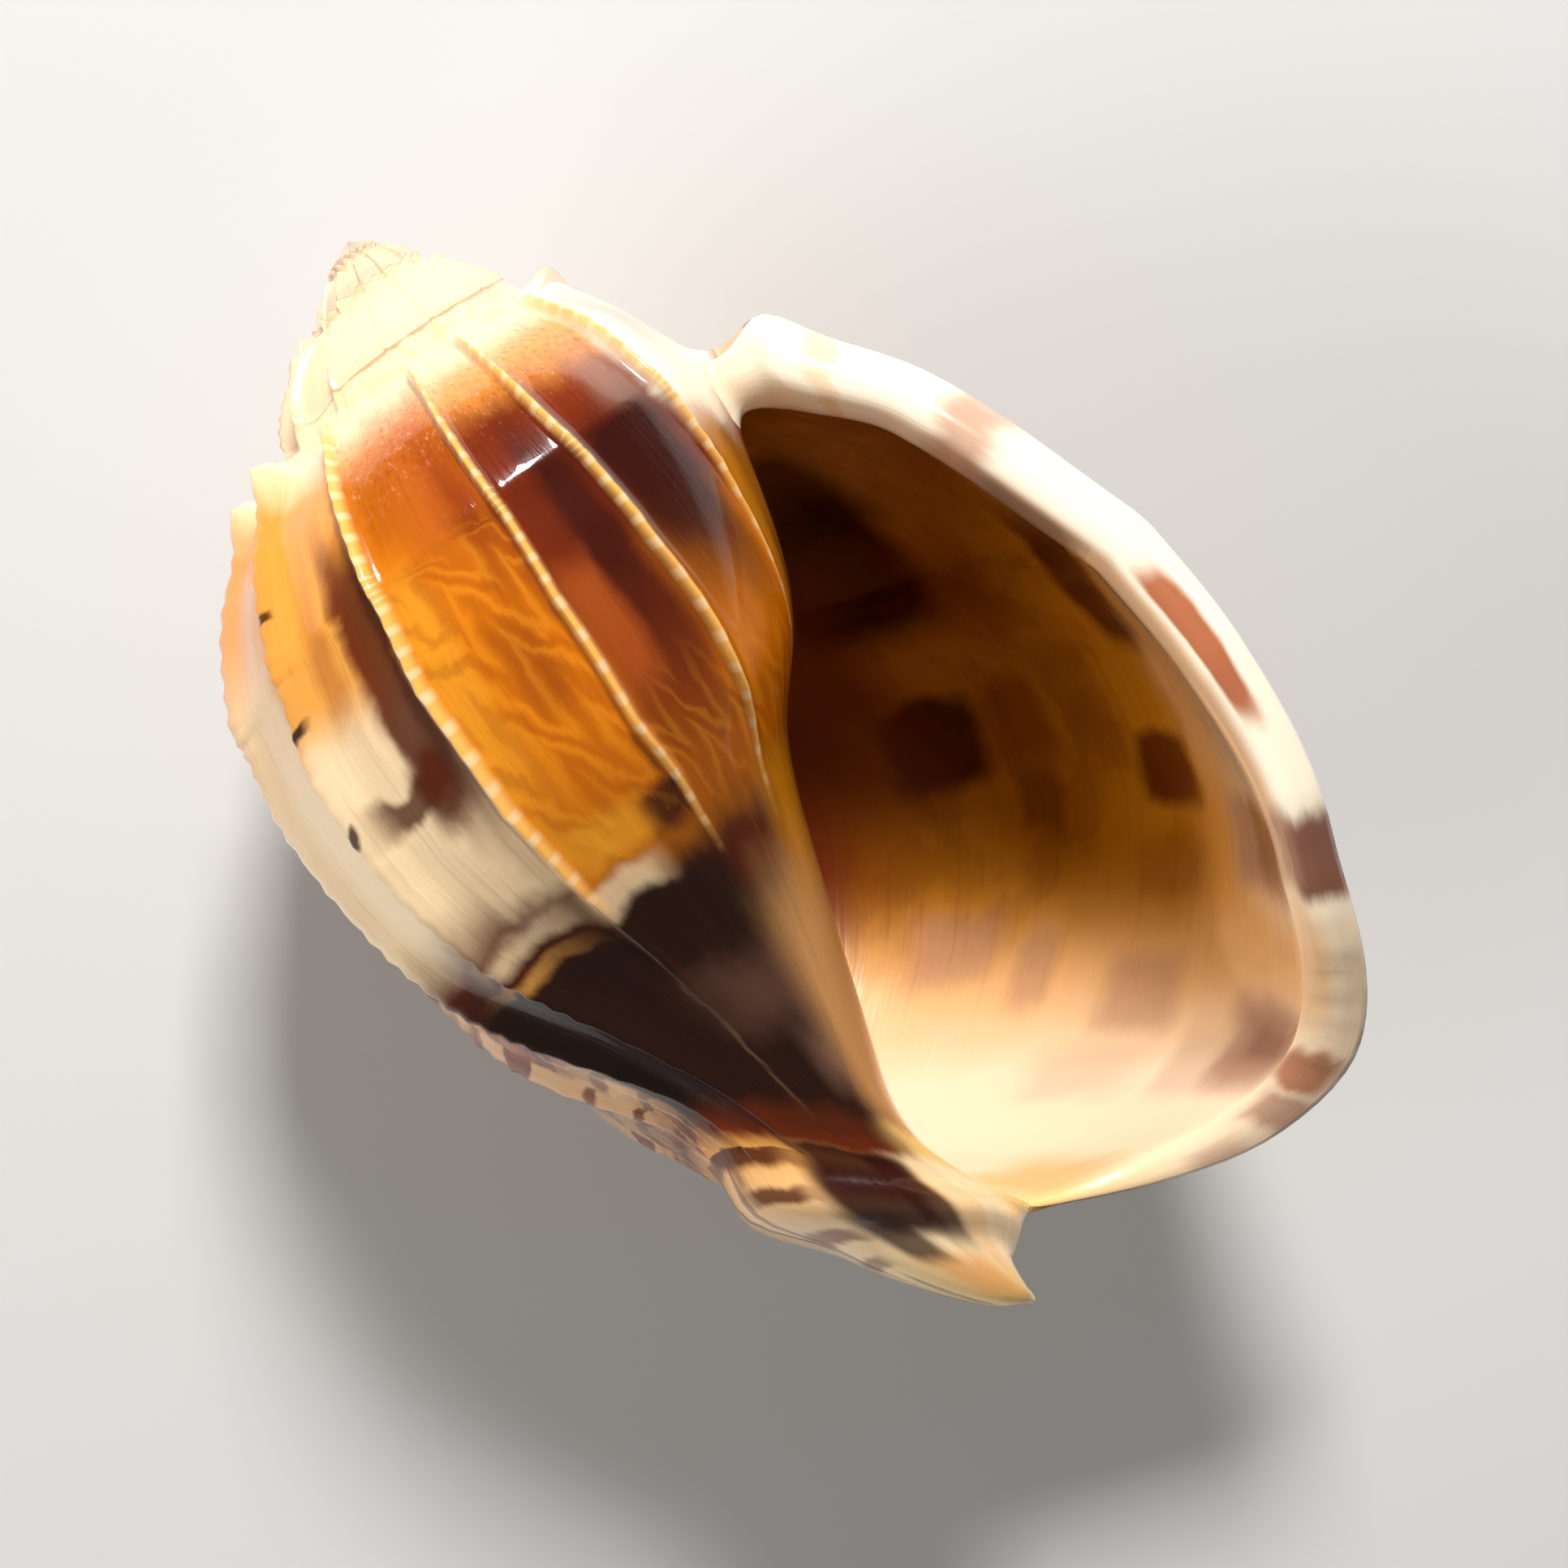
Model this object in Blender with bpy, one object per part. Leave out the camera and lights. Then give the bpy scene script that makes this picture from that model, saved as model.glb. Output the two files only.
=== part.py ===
"""Major harp shell: one solid, coiled body with raised ribs and an open mouth, lying on its back.

The shell is a lofted wall that winds round a coiling axis. Every place on it has three numbers:
turn (0 at the lip, negative towards the apex), the row across the whorl from the suture to the neck
of the columella, and which face of the wall it is on. Sizes are in millimetres until the last step.
"""

import math

import bmesh
import bpy
import numpy as np
from mathutils import Euler, Matrix

MM = 0.001

# Driving dimensions
SHELL_LENGTH = 79.7
LIP_SUTURE = (17.0, 15.6)
SUTURE_GROWTH = (2.25, 2.2)
SIDE_FLATTENING = 0.13
APEX_TURN = -3.5
LIP_AZIMUTH = 11.0
WALL = 1.5
INNERMOST_WALL = 0.8
LIP_WALL = 3.2
LIP_WALL_LENGTH = 0.035
LOW_WALL_SHARE = 0.38
SEAM_WALL_SHARE = 0.4
WALL_GROWTH_TURNS = 0.9
PILLAR_DEPTH = 2.6
PILLAR_DEPTH_TURNS = 0.12
HOLLOW_TURNS = 1.32
TIP_OFFSET = 7.0
TIP_BEND_START = 62.0
TIP_BEND_POWER = 1.6
TIP_TAPER = 0.55
NOTCH_TAPER = 2.3
NOTCH_REACH = 50.0
FASCIOLE_HEIGHT = 1.3
FASCIOLE_SHARE = 0.5

# Ribs: heights in mm, widths in rib spacings, lengths along the coil in turns
RIB_HEIGHT = 1.25
RIB_BACK_WIDTH = 0.085
RIB_FRONT_WIDTH = 0.035
RIB_FADE_RADIUS = 9.0
RIB_START_TURNS = 0.025
RIB_SIZE_POWER = 1.5
LOW_RIB_SHARE = 0.2
LOW_RIB_KNOTS = (8.5, 11.5)
SPINE_HEIGHT = 1.2
SPINE_KNOTS = 0.35
LIP_RIB_HEIGHT = 1.1
LIP_RIB_LENGTH = 0.014
LIP_SPINE_SHARE = 0.3

# Azimuths of the ribs round the coiling axis, the same on every whorl; the lip stands on the first
RIB_AZIMUTHS = (10.0, 40.0, 72.0, 95.0, 123.0, 151.0, 178.0, 206.0, 234.0, 262.0, 289.0, 316.0, 343.0)
# How far the ribs of the last whorl lie off those places, in rib spacings, at some knots of each rib
WANDER_KNOTS = (0, 2, 3, 4, 5, 6, 7, 8, 10, 12)
RIB_WANDER = {
    -13: (0.0, 0.0, 0.0, 0.0, 0.0, 0.0, 0.0, 0.0, 0.0, 0.0),
    -12: (0.0, 0.02, 0.05, 0.05, 0.04, -0.22, -0.60, -0.55, -0.3, 0.0),
    -11: (0.0, 0.0, -0.01, -0.11, -0.15, -0.34, -0.53, -0.60, -0.3, 0.0),
    -10: (0.0, -0.25, -0.26, -0.32, -0.36, -0.53, -0.55, -0.60, -0.3, 0.0),
    -9: (0.0, -0.10, -0.22, -0.28, -0.29, -0.35, -0.34, -0.15, 0.0, 0.0),
    -8: (0.0, -0.15, -0.30, -0.31, -0.29, -0.21, -0.11, 0.15, 0.1, 0.0),
    -7: (0.0, -0.13, -0.12, -0.22, -0.22, -0.16, -0.06, 0.05, 0.0, 0.0),
    -6: (0.0, -0.1, -0.1, -0.15, -0.15, -0.15, -0.1, 0.0, 0.0, 0.0),
    -1: (0.0, -0.1, -0.1, -0.1, -0.1, -0.1, -0.1, 0.0, 0.0, 0.0),
    0: (0.0, 0.0, 0.0, 0.0, 0.0, 0.0, 0.0, 0.0, 0.0, 0.0),
}

# How the shell lies: pitched by some degrees, on a small worn flat spot
REST_PITCH = -7.0
REST_SPOT = (5.2, -36.1, -26.1)

# Profile of an exposed whorl: share of the way from its suture to the next, and bulge over that chord
WHORL_SHAPE = ((0.0, 0.0), (0.14, 0.01), (0.28, 0.05), (0.62, 0.095), (1.0, 0.0))
LIP_SHAPE = ((0.0, 0.0), (0.06, 0.03), (0.14, 0.075), (0.50, 0.115), (1.0, 0.0))
LIP_SHAPE_LENGTH = 0.14

# Below the seam, each section is (distance from the apex, radius) at one turn, from seam to neck
NOTCH = (74.2, 6.3)
LOWER_SECTIONS = {
    -3.0: (
        (3.8, 3.3), (4.8, 3.3), (6.5, 3.0), (9.0, 2.7),
        (12.0, 2.4), (15.0, 2.2), (18.0, 2.1), (21.0, 2.2),
    ),
    -2.5: (
        (5.6, 3.9), (7.2, 4.0), (10.0, 3.8), (13.5, 3.4),
        (18.0, 3.0), (23.0, 2.8), (28.0, 2.7), (33.0, 2.8),
    ),
    -2.0: (
        (8.6, 7.1), (11.0, 7.1), (16.0, 6.6), (21.5, 5.8),
        (28.0, 5.2), (35.0, 4.8), (42.0, 4.6), (49.0, 4.8),
    ),
    -1.5: (
        (12.8, 9.3), (16.0, 9.9), (22.0, 9.4), (28.0, 7.8),
        (35.0, 6.4), (43.0, 5.4), (51.0, 5.0), (57.5, 5.2),
    ),
    -1.0: (
        (18.6, 16.0), (25.0, 16.2), (33.5, 14.4), (40.5, 10.0),
        (50.0, 7.5), (60.0, 5.5), (69.0, 3.8), NOTCH,
    ),
    -0.75: (
        (22.5, 17.9), (28.0, 18.0), (36.5, 16.2), (43.0, 12.6),
        (50.0, 9.2), (57.5, 7.2), (63.5, 6.3), (68.5, 5.2),
    ),
    -0.5: (
        (27.3, 20.1), (33.0, 20.2), (40.5, 18.6), (46.0, 16.3),
        (50.5, 13.2), (54.5, 10.2), (58.0, 8.0), (61.5, 6.9),
    ),
    -0.25: (
        (33.3, 26.6), (40.0, 27.6), (48.5, 26.4), (55.5, 23.2),
        (61.0, 18.6), (64.8, 13.8), (66.8, 9.8), (67.5, 6.9),
    ),
    0.0: (
        (40.5, 35.2), (49.0, 36.8), (59.0, 36.6), (68.0, 33.2),
        (74.5, 27.2), (77.3, 19.5), (77.0, 12.0), NOTCH,
    ),
}
# How far a growth line leans back along the whorl at each row of control points, in degrees
GROWTH_LINE_LEAN = (0.0, 0.0, 0.0, 0.0, 0.0, 0.0, 1.5, 0.0, -6.0, -15.0, -26.0, -38.0, -50.0)
# How far down the section the hollow reaches at each turn, from the base (0) to the neck (1)
HOLLOW_REACH = {-1.0: 0.25, -0.75: 0.40, -0.5: 0.82, -0.25: 0.95, 0.0: 1.0}

# Mesh density
MERGE_DISTANCE = 0.02
SMALL_KNOT_STEP = 0.02
FIRST_OUTWARD_KNOT = 0.3
STATION_GAP = 0.006
RIB_STATIONS = (-0.16, -0.05, 0.03, 0.30, 0.58)
ROWS_PER_SPAN = (1, 1, 1, 2, 1, 1, 2, 2, 2, 1, 1, 1)
TIP_ROWS = 6

# Knots with a name: the rows of control points across the whorl
SHOULDER_KNOT = 2
SEAM_KNOT = 4
INNER_SEAM_KNOT = 5
BASE_KNOT = 8
NECK_KNOT = 12

# Where glaze hides the ribs: over the base in front, and on the whorl before next to the mouth
CALLUS_KNOT = 6.8
CALLUS_TURN = -0.66
CALLUS_EDGE = 0.10
PARIETAL_KNOT = 3.5
PARIETAL_TURN = -0.91
PARIETAL_EDGE = 0.06
GLAZE_KNOTS = 1.5
DEEP_EDGE = 0.12


def smooth(x):
    x = np.clip(x, 0.0, 1.0)
    return x * x * (3.0 - 2.0 * x)


def suture(turn):
    """Distance from the apex and radius of the line where a whorl meets the one before it."""
    along = LIP_SUTURE[0] * SUTURE_GROWTH[0] ** turn
    radius = LIP_SUTURE[1] * SUTURE_GROWTH[1] ** turn
    flattening = 1.0 - SIDE_FLATTENING * math.sin(math.pi * turn) ** 2
    return np.array((along, radius * flattening))


def between_keys(table, turn):
    """A smooth value between the keyed turns of a table."""
    keys = sorted(table)
    turn = min(max(turn, keys[0]), keys[-1])
    i = min(max(sum(k <= turn for k in keys) - 1, 0), len(keys) - 2)
    around = [keys[max(i - 1, 0)], keys[i], keys[i + 1], keys[min(i + 2, len(keys) - 1)]]
    values = [np.asarray(table[k], float) for k in around]
    step = around[2] - around[1]
    share = (turn - around[1]) / step
    slope_in = (values[2] - values[0]) / max(around[2] - around[0], 1e-9) * step
    slope_out = (values[3] - values[1]) / max(around[3] - around[1], 1e-9) * step
    cube, square = share ** 3, share ** 2
    return (
        (2 * cube - 3 * square + 1) * values[1]
        + (cube - 2 * square + share) * slope_in
        + (3 * square - 2 * cube) * values[2]
        + (cube - square) * slope_out
    )


def control_points(turn):
    """The section's control points at this turn: five across the exposed whorl, eight below its seam."""
    top, seam = suture(turn), suture(turn + 1.0)
    chord = seam - top
    outward = np.array((-chord[1], chord[0]))
    near_lip = float(smooth(1.0 + turn / LIP_SHAPE_LENGTH))
    shape = (1.0 - near_lip) * np.array(WHORL_SHAPE) + near_lip * np.array(LIP_SHAPE)
    upper = [top + share * chord + bulge * outward for share, bulge in shape]
    if turn < -3.0:
        lower = [seam] * (NECK_KNOT - SEAM_KNOT)
    else:
        lower = list(between_keys(LOWER_SECTIONS, turn))
    return np.array(upper + lower)


def spline(points, knot):
    """A point on the smooth curve through the control points, at a knot number that need not be whole."""
    i = min(int(knot), len(points) - 2)
    share = knot - i
    before, start, end = points[max(i - 1, 0)], points[i], points[i + 1]
    after = points[min(i + 2, len(points) - 1)]
    lengths = [max(np.linalg.norm(b - a), 1e-6) for a, b in ((before, start), (start, end), (end, after))]
    middle = lengths[1]
    slope_in = (end - before) / (lengths[0] + middle) * middle if i > 0 else end - start
    slope_out = (after - start) / (middle + lengths[2]) * middle if i + 2 < len(points) else end - start
    cube, square = share ** 3, share ** 2
    return (
        (2 * cube - 3 * square + 1) * start
        + (cube - 2 * square + share) * slope_in
        + (3 * square - 2 * cube) * end
        + (cube - square) * slope_out
    )


def inward(points, knot):
    """The direction into the wall at a place on the section."""
    ahead = spline(points, min(knot + SMALL_KNOT_STEP, NECK_KNOT))
    behind = spline(points, max(knot - SMALL_KNOT_STEP, 0.0))
    along = ahead - behind
    return np.array((along[1], -along[0])) / max(np.linalg.norm(along), 1e-9)


def wall_thickness(turn, knot):
    """Thickness of the wall, thicker at the lip and most of all at its upper part."""
    near_lip = math.exp(-(turn / LIP_WALL_LENGTH) ** 2)
    upper = 1.0 - (1.0 - LOW_WALL_SHARE) * smooth((knot - 5.0) / 4.0)
    wall = INNERMOST_WALL + (WALL - INNERMOST_WALL) * smooth((turn + HOLLOW_TURNS) / WALL_GROWTH_TURNS)
    near_seam = SEAM_WALL_SHARE + (1.0 - SEAM_WALL_SHARE) * smooth((knot - 0.6) / 2.0)
    return near_seam * (wall + (LIP_WALL - WALL) * near_lip * upper)


def hollow_floor(turn):
    """Where the wall's inner face meets the columella at this turn."""
    points = control_points(turn)
    reach = float(between_keys(HOLLOW_REACH, turn))
    knot = BASE_KNOT + (NECK_KNOT - BASE_KNOT) * reach
    depth = PILLAR_DEPTH * float(smooth(-turn / PILLAR_DEPTH_TURNS))
    return spline(points, knot) + depth * inward(points, knot)


def inner_control_points(turn):
    """Control points of the wall's inner face, from the seam inside the mouth to the floor of the hollow."""
    points = control_points(turn)
    reach = float(between_keys(HOLLOW_REACH, turn))
    face = [control_points(turn - 1.0)[INNER_SEAM_KNOT]]
    for number in range(1, NECK_KNOT):
        knot = float(number)
        if number > BASE_KNOT:
            knot = BASE_KNOT + (number - BASE_KNOT) * reach
        face.append(spline(points, knot) + wall_thickness(turn, knot) * inward(points, knot))
    face.append(hollow_floor(turn))
    return np.array(face)


def parietal_control_points(turn):
    """Control points of the hollow's inner side one turn further in, ending at the hollow's floor."""
    points = control_points(turn)
    points[NECK_KNOT] = hollow_floor(turn + 1.0)
    return points


def lean(knot):
    return float(np.interp(knot, range(len(GROWTH_LINE_LEAN)), GROWTH_LINE_LEAN))


def axis_offset(along):
    """How far the columella's tip bends off the coiling axis."""
    share = max(along - TIP_BEND_START, 0.0) / (SHELL_LENGTH - TIP_BEND_START)
    return TIP_OFFSET * share ** TIP_BEND_POWER


def place(along, radius, azimuth):
    """A point in the shell's own frame: X towards the lip, Y towards the apex, Z out of the mouth."""
    angle = math.radians(azimuth)
    return np.array((axis_offset(along) + radius * math.cos(angle), -along, radius * math.sin(angle)))


def rib_number(turn):
    """Rib spacings counted from the rib at the lip, negative towards the apex; whole numbers are crests."""
    whole, azimuth = divmod(LIP_AZIMUTH + 360.0 * turn - RIB_AZIMUTHS[0], 360.0)
    crests = RIB_AZIMUTHS + (RIB_AZIMUTHS[0] + 360.0,)
    return whole * len(RIB_AZIMUTHS) + float(np.interp(azimuth + RIB_AZIMUTHS[0], crests, range(len(crests))))


def turn_of_rib(number):
    """The turn at which a rib number lies."""
    whole, part = divmod(number, len(RIB_AZIMUTHS))
    crests = RIB_AZIMUTHS + (RIB_AZIMUTHS[0] + 360.0,)
    azimuth = float(np.interp(part, range(len(crests)), crests)) + 360.0 * whole
    return (azimuth - LIP_AZIMUTH) / 360.0


def wandered(turn, knot):
    """The turn at which a place on a rib really lies, because the ribs lean off their even places."""
    if not -1.0 < turn < 0.0:
        return turn
    number = rib_number(turn)
    at_knot = [float(np.interp(knot, WANDER_KNOTS, row)) for row in RIB_WANDER.values()]
    return turn_of_rib(number + float(np.interp(number, list(RIB_WANDER), at_knot)))


def rib_ridge(turn):
    """Height across a rib, from 0 to 1: a slope up on the older side, a steep fall on the younger one."""
    number = rib_number(turn)
    phase = number - round(number)
    width = RIB_BACK_WIDTH if phase < 0.0 else RIB_FRONT_WIDTH
    return math.exp(-(phase / width) ** 2) * float(smooth(-turn / RIB_START_TURNS))


def rib_relief(turn, knot, radius):
    """How far the surface stands out because of the ribs and their shoulder spines."""
    size = min(radius / RIB_FADE_RADIUS, 1.0) ** RIB_SIZE_POWER
    towards_neck = float(smooth((knot - LOW_RIB_KNOTS[0]) / (LOW_RIB_KNOTS[1] - LOW_RIB_KNOTS[0])))
    along = float(smooth(knot / SHOULDER_KNOT)) * (1.0 - (1.0 - LOW_RIB_SHARE) * towards_neck)
    callus = float(smooth((CALLUS_TURN - turn) / CALLUS_EDGE) * smooth((knot - CALLUS_KNOT) / GLAZE_KNOTS))
    parietal = float(
        smooth((PARIETAL_TURN - turn) / PARIETAL_EDGE) * smooth((knot - PARIETAL_KNOT) / GLAZE_KNOTS)
    )
    spine = SPINE_HEIGHT * math.exp(-((knot - SHOULDER_KNOT) / SPINE_KNOTS) ** 2)
    rib = rib_ridge(turn) * (RIB_HEIGHT * along * (1.0 - callus) * (1.0 - parietal) + spine)
    lip_rib = math.exp(-(turn / LIP_RIB_LENGTH) ** 2) * (LIP_RIB_HEIGHT * along + LIP_SPINE_SHARE * spine)
    return size * max(rib, lip_rib)


def outer_point(turn, knot):
    """A point on the outside of the shell, ribs included."""
    moved = wandered(turn, knot)
    points = control_points(moved)
    here = spline(points, knot)
    relief = rib_relief(turn, knot, here[1])
    if turn < -1.0 and knot > SEAM_KNOT:
        relief *= float(1.0 - smooth((-1.0 - turn) / DEEP_EDGE))
    here = here - relief * inward(points, max(knot, FIRST_OUTWARD_KNOT))
    if knot < 1.0 and turn - 1.0 >= APEX_TURN:
        before = control_points(moved - 1.0)
        lift = rib_relief(turn - 1.0, SEAM_KNOT, before[SEAM_KNOT][1]) * float(1.0 - smooth(knot))
        here = here - lift * inward(before, SEAM_KNOT)
    return place(here[0], here[1], LIP_AZIMUTH + 360.0 * moved + lean(knot))


def hollow_point(points, turn, knot):
    here = spline(points, knot)
    return place(here[0], here[1], LIP_AZIMUTH + 360.0 * turn + lean(knot))


def tip_point(turn, share):
    """A point between the neck of the columella (share 0) and its tip (share 1), with the fasciole."""
    neck = control_points(turn)[NECK_KNOT]
    azimuth = LIP_AZIMUTH + 360.0 * turn + lean(NECK_KNOT)
    from_notch = min(-turn, 1.0 + turn) * 360.0
    near_notch = math.exp(-(from_notch / NOTCH_REACH) ** 2)
    taper = TIP_TAPER + (NOTCH_TAPER - TIP_TAPER) * near_notch
    along = neck[0] + (SHELL_LENGTH - neck[0]) * share
    bump = FASCIOLE_HEIGHT * math.sin(math.pi * min(share / FASCIOLE_SHARE, 1.0)) ** 2 * (1.0 - near_notch)
    radius = neck[1] * (1.0 - share) ** taper + bump
    return place(along, radius, azimuth)


def turn_stations():
    """The turns, within one revolution, at which the surface is sampled."""
    stations = {0.0}
    crests = RIB_AZIMUTHS + (RIB_AZIMUTHS[0] + 360.0,)
    for rib, crest in enumerate(RIB_AZIMUTHS):
        for phase in RIB_STATIONS:
            before = RIB_AZIMUTHS[rib - 1] - (360.0 if rib == 0 else 0.0)
            spacing = crests[rib + 1] - crest if phase > 0.0 else crest - before
            turn = (crest + phase * spacing - LIP_AZIMUTH) / 360.0
            stations.add(round(turn % 1.0, 6) % 1.0)
    kept = []
    for station in sorted(stations):
        if station == 0.0 or min(station, 1.0 - station) > STATION_GAP:
            kept.append(station)
    return kept


def row_knots():
    knots = [0.0]
    for span, count in enumerate(ROWS_PER_SPAN):
        knots += [span + (i + 1) / count for i in range(count)]
    return knots


class Wall:
    """Collects the mesh's points and faces."""

    def __init__(self):
        self.points = []
        self.faces = []
        self.numbers = {}

    def point(self, key, make):
        if key not in self.numbers:
            self.numbers[key] = len(self.points)
            self.points.append(make())
        return self.numbers[key]

    def grid(self, rows):
        """Joins equal rows of points with quads; a repeated point makes a triangle."""
        for first, second in zip(rows, rows[1:]):
            for a, b, c, d in zip(first, first[1:], second[1:], second):
                corners = list(dict.fromkeys((a, b, c, d)))
                if len(corners) > 2:
                    self.faces.append(corners)

    def fan(self, ring, centre):
        for a, b in zip(ring, ring[1:]):
            if a != b:
                self.faces.append((a, b, centre))


def build_wall():
    stations = turn_stations()
    knots = row_knots()
    per_turn = len(stations)
    seam = knots.index(float(SEAM_KNOT))
    inner_seam = knots.index(float(INNER_SEAM_KNOT))
    neck = len(knots) - 1
    first = round(APEX_TURN * per_turn)
    wall = Wall()

    def turn_of(column):
        whole, part = divmod(column, per_turn)
        return whole + stations[part]

    def outer(column, row):
        if row == seam and column <= -per_turn:
            return outer(column + per_turn, 0)
        if row == neck and column in (0, -per_turn):
            return wall.point("notch", lambda: outer_point(0.0, NECK_KNOT))
        return wall.point(("outer", column, row), lambda: outer_point(turn_of(column), knots[row]))

    start = -int(per_turn * HOLLOW_TURNS)
    inner_sections = {c: inner_control_points(turn_of(c)) for c in range(start, 1)}
    parietal_sections = {c: parietal_control_points(turn_of(c) - 1.0) for c in range(start, 1)}

    def parietal(column, row):
        """The hollow's inner side, which becomes the outside of the whorl before it at the mouth."""
        if column == 0 or (row == inner_seam and column > -4):
            return outer(column - per_turn, row)
        section = parietal_sections[column]
        turn = turn_of(column) - 1.0
        if row < neck:
            return wall.point(("outer", column - per_turn, row), lambda: outer_point(turn, knots[row]))
        return wall.point(("floor", column), lambda: hollow_point(section, turn, NECK_KNOT))

    def inner(column, row):
        if row == 0:
            return parietal(column, inner_seam)
        if row == neck:
            return parietal(column, neck)
        section = inner_sections[column]
        return wall.point(("inner", column, row), lambda: hollow_point(section, turn_of(column), knots[row]))

    # Outside of the spire from its point, then of the last whorl
    ring = [outer(c, 0) for c in range(first, first + per_turn)]
    ring += [outer(first, r) for r in range(seam, -1, -1)]
    wall.fan(ring, wall.point("apex", lambda: place(0.0, 0.0, 0.0)))
    wall.grid([[outer(c, r) for r in range(seam + 1)] for c in range(first, -per_turn + 1)])
    wall.grid([[outer(c, r) for r in range(neck + 1)] for c in range(-per_turn, 1)])
    # The hollow: its inner side, its outer side and its blind end
    columns = range(start, 1)
    wall.grid([[parietal(c, r) for r in range(inner_seam, neck + 1)] for c in columns])
    wall.grid([[inner(c, r) for r in range(neck, -1, -1)] for c in columns])
    ring = [inner(start, r) for r in range(neck + 1)]
    ring += [parietal(start, r) for r in range(neck - 1, inner_seam - 1, -1)]
    centre = np.mean([wall.points[i] for i in ring], axis=0)
    wall.fan(ring, wall.point("blind end", lambda: centre))
    # The lip
    wall.grid([[outer(0, r) for r in range(neck + 1)], [inner(0, r) for r in range(neck + 1)]])
    # The tip of the columella
    rings = [[outer(c, neck) for c in range(-per_turn, 1)]]
    for step in range(1, TIP_ROWS):
        share = step / TIP_ROWS
        rings.append([
            wall.point(("tip", c % per_turn, step), lambda t=turn_of(c): tip_point(t, share))
            for c in range(-per_turn, 1)
        ])
    wall.grid([list(r) for r in zip(*rings)])
    wall.fan(rings[-1], wall.point("tip", lambda: place(SHELL_LENGTH, 0.0, 0.0)))
    return wall


def resting_matrix():
    """Turns the shell from its own frame to the way it lies, with the worn spot's centre at the origin."""
    turn = Euler((math.radians(REST_PITCH), 0.0, 0.0)).to_matrix().to_4x4()
    return turn @ Matrix.Translation([-value * MM for value in REST_SPOT])


def wear_flat(work):
    """Cuts the shell off level with the ground and closes the cut with one flat face."""
    everything = work.verts[:] + work.edges[:] + work.faces[:]
    cut = bmesh.ops.bisect_plane(
        work, geom=everything, plane_co=(0.0, 0.0, 0.0), plane_no=(0.0, 0.0, 1.0), clear_inner=True
    )
    rim = [item for item in cut["geom_cut"] if isinstance(item, bmesh.types.BMEdge)]
    bmesh.ops.edgenet_fill(work, edges=rim)


def make_shell_mesh():
    wall = build_wall()
    mesh = bpy.data.meshes.new("shell")
    mesh.from_pydata([tuple(p * MM) for p in wall.points], [], wall.faces)
    work = bmesh.new()
    work.from_mesh(mesh)
    bmesh.ops.transform(work, matrix=resting_matrix(), verts=work.verts)
    wear_flat(work)
    bmesh.ops.remove_doubles(work, verts=work.verts, dist=MERGE_DISTANCE * MM)
    bmesh.ops.recalc_face_normals(work, faces=work.faces)
    bmesh.ops.triangulate(work, faces=work.faces)
    work.to_mesh(mesh)
    work.free()
    return mesh


def shell_material():
    material = bpy.data.materials.new("shell")
    material.use_nodes = True
    surface = material.node_tree.nodes["Principled BSDF"]
    surface.inputs["Base Color"].default_value = (0.62, 0.36, 0.16, 1.0)
    surface.inputs["Roughness"].default_value = 0.22
    surface.inputs["Metallic"].default_value = 0.0
    return material


def main():
    for old in list(bpy.data.objects):
        bpy.data.objects.remove(old)
    collection = bpy.data.collections.new("harp_shell")
    bpy.context.scene.collection.children.link(collection)
    shell = bpy.data.objects.new("shell", make_shell_mesh())
    shell.data.materials.append(shell_material())
    collection.objects.link(shell)


main()
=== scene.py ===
# %% [markdown]
# # A major harp shell
# This lesson dresses a sea shell that lies on its back with its mouth up. The real thing grew as one piece: a
# wall of glazed aragonite, laid down at the lip, that winds round a coiling axis. So the model is one piece too.
# The frame holds the plain solid at its real size, and everything here is made around it.

import math

import bpy
import numpy as np
from mathutils import Euler, Matrix, Vector


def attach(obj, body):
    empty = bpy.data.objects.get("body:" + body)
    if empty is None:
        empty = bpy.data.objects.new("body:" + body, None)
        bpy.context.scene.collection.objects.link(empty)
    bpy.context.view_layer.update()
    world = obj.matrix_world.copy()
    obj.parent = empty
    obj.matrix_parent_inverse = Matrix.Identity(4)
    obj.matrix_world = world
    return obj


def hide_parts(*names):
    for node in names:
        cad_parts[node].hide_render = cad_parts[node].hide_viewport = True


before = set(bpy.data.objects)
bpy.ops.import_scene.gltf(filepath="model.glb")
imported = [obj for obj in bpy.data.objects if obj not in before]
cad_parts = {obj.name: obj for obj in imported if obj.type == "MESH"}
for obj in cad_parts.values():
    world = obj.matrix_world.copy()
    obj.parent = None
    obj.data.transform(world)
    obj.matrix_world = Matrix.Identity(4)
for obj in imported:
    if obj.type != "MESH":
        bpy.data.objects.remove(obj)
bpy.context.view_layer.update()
MM = 0.001

# %% [markdown]
# ## The coil
# A shell grows by adding to its lip, so every part of it is an older lip, and a whorl is the one before it made
# larger. The line where two whorls meet, the suture, is a spiral that grows by the same factor each turn. A
# place on the shell has two numbers: the turn, 0 at the lip and negative towards the apex, and the knot, which
# counts across the whorl from the suture (0) over the shoulder (2) and the next seam (4) to the neck (12).
# Sizes are in millimetres until the last step.

# %% The suture and the growth line
SHELL_LENGTH = 79.5
LIP_SUTURE = (17.0, 15.6)
SUTURE_GROWTH = (2.25, 2.2)
SIDE_FLATTENING = 0.13
APEX_TURN = -3.5
LIP_AZIMUTH = 11.0
TIP_OFFSET, TIP_BEND_START, TIP_BEND_POWER = 7.0, 62.0, 1.6
TINY = 1e-9
GROWTH_LINE_LEAN = (0.0, 0.0, 0.0, 0.0, 0.0, 0.0, 1.5, 0.0, -6.0, -15.0, -26.0, -38.0, -50.0)
SHOULDER, SEAM, INNER_SEAM, BASE, NECK = 2, 4, 5, 8, 12


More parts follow.
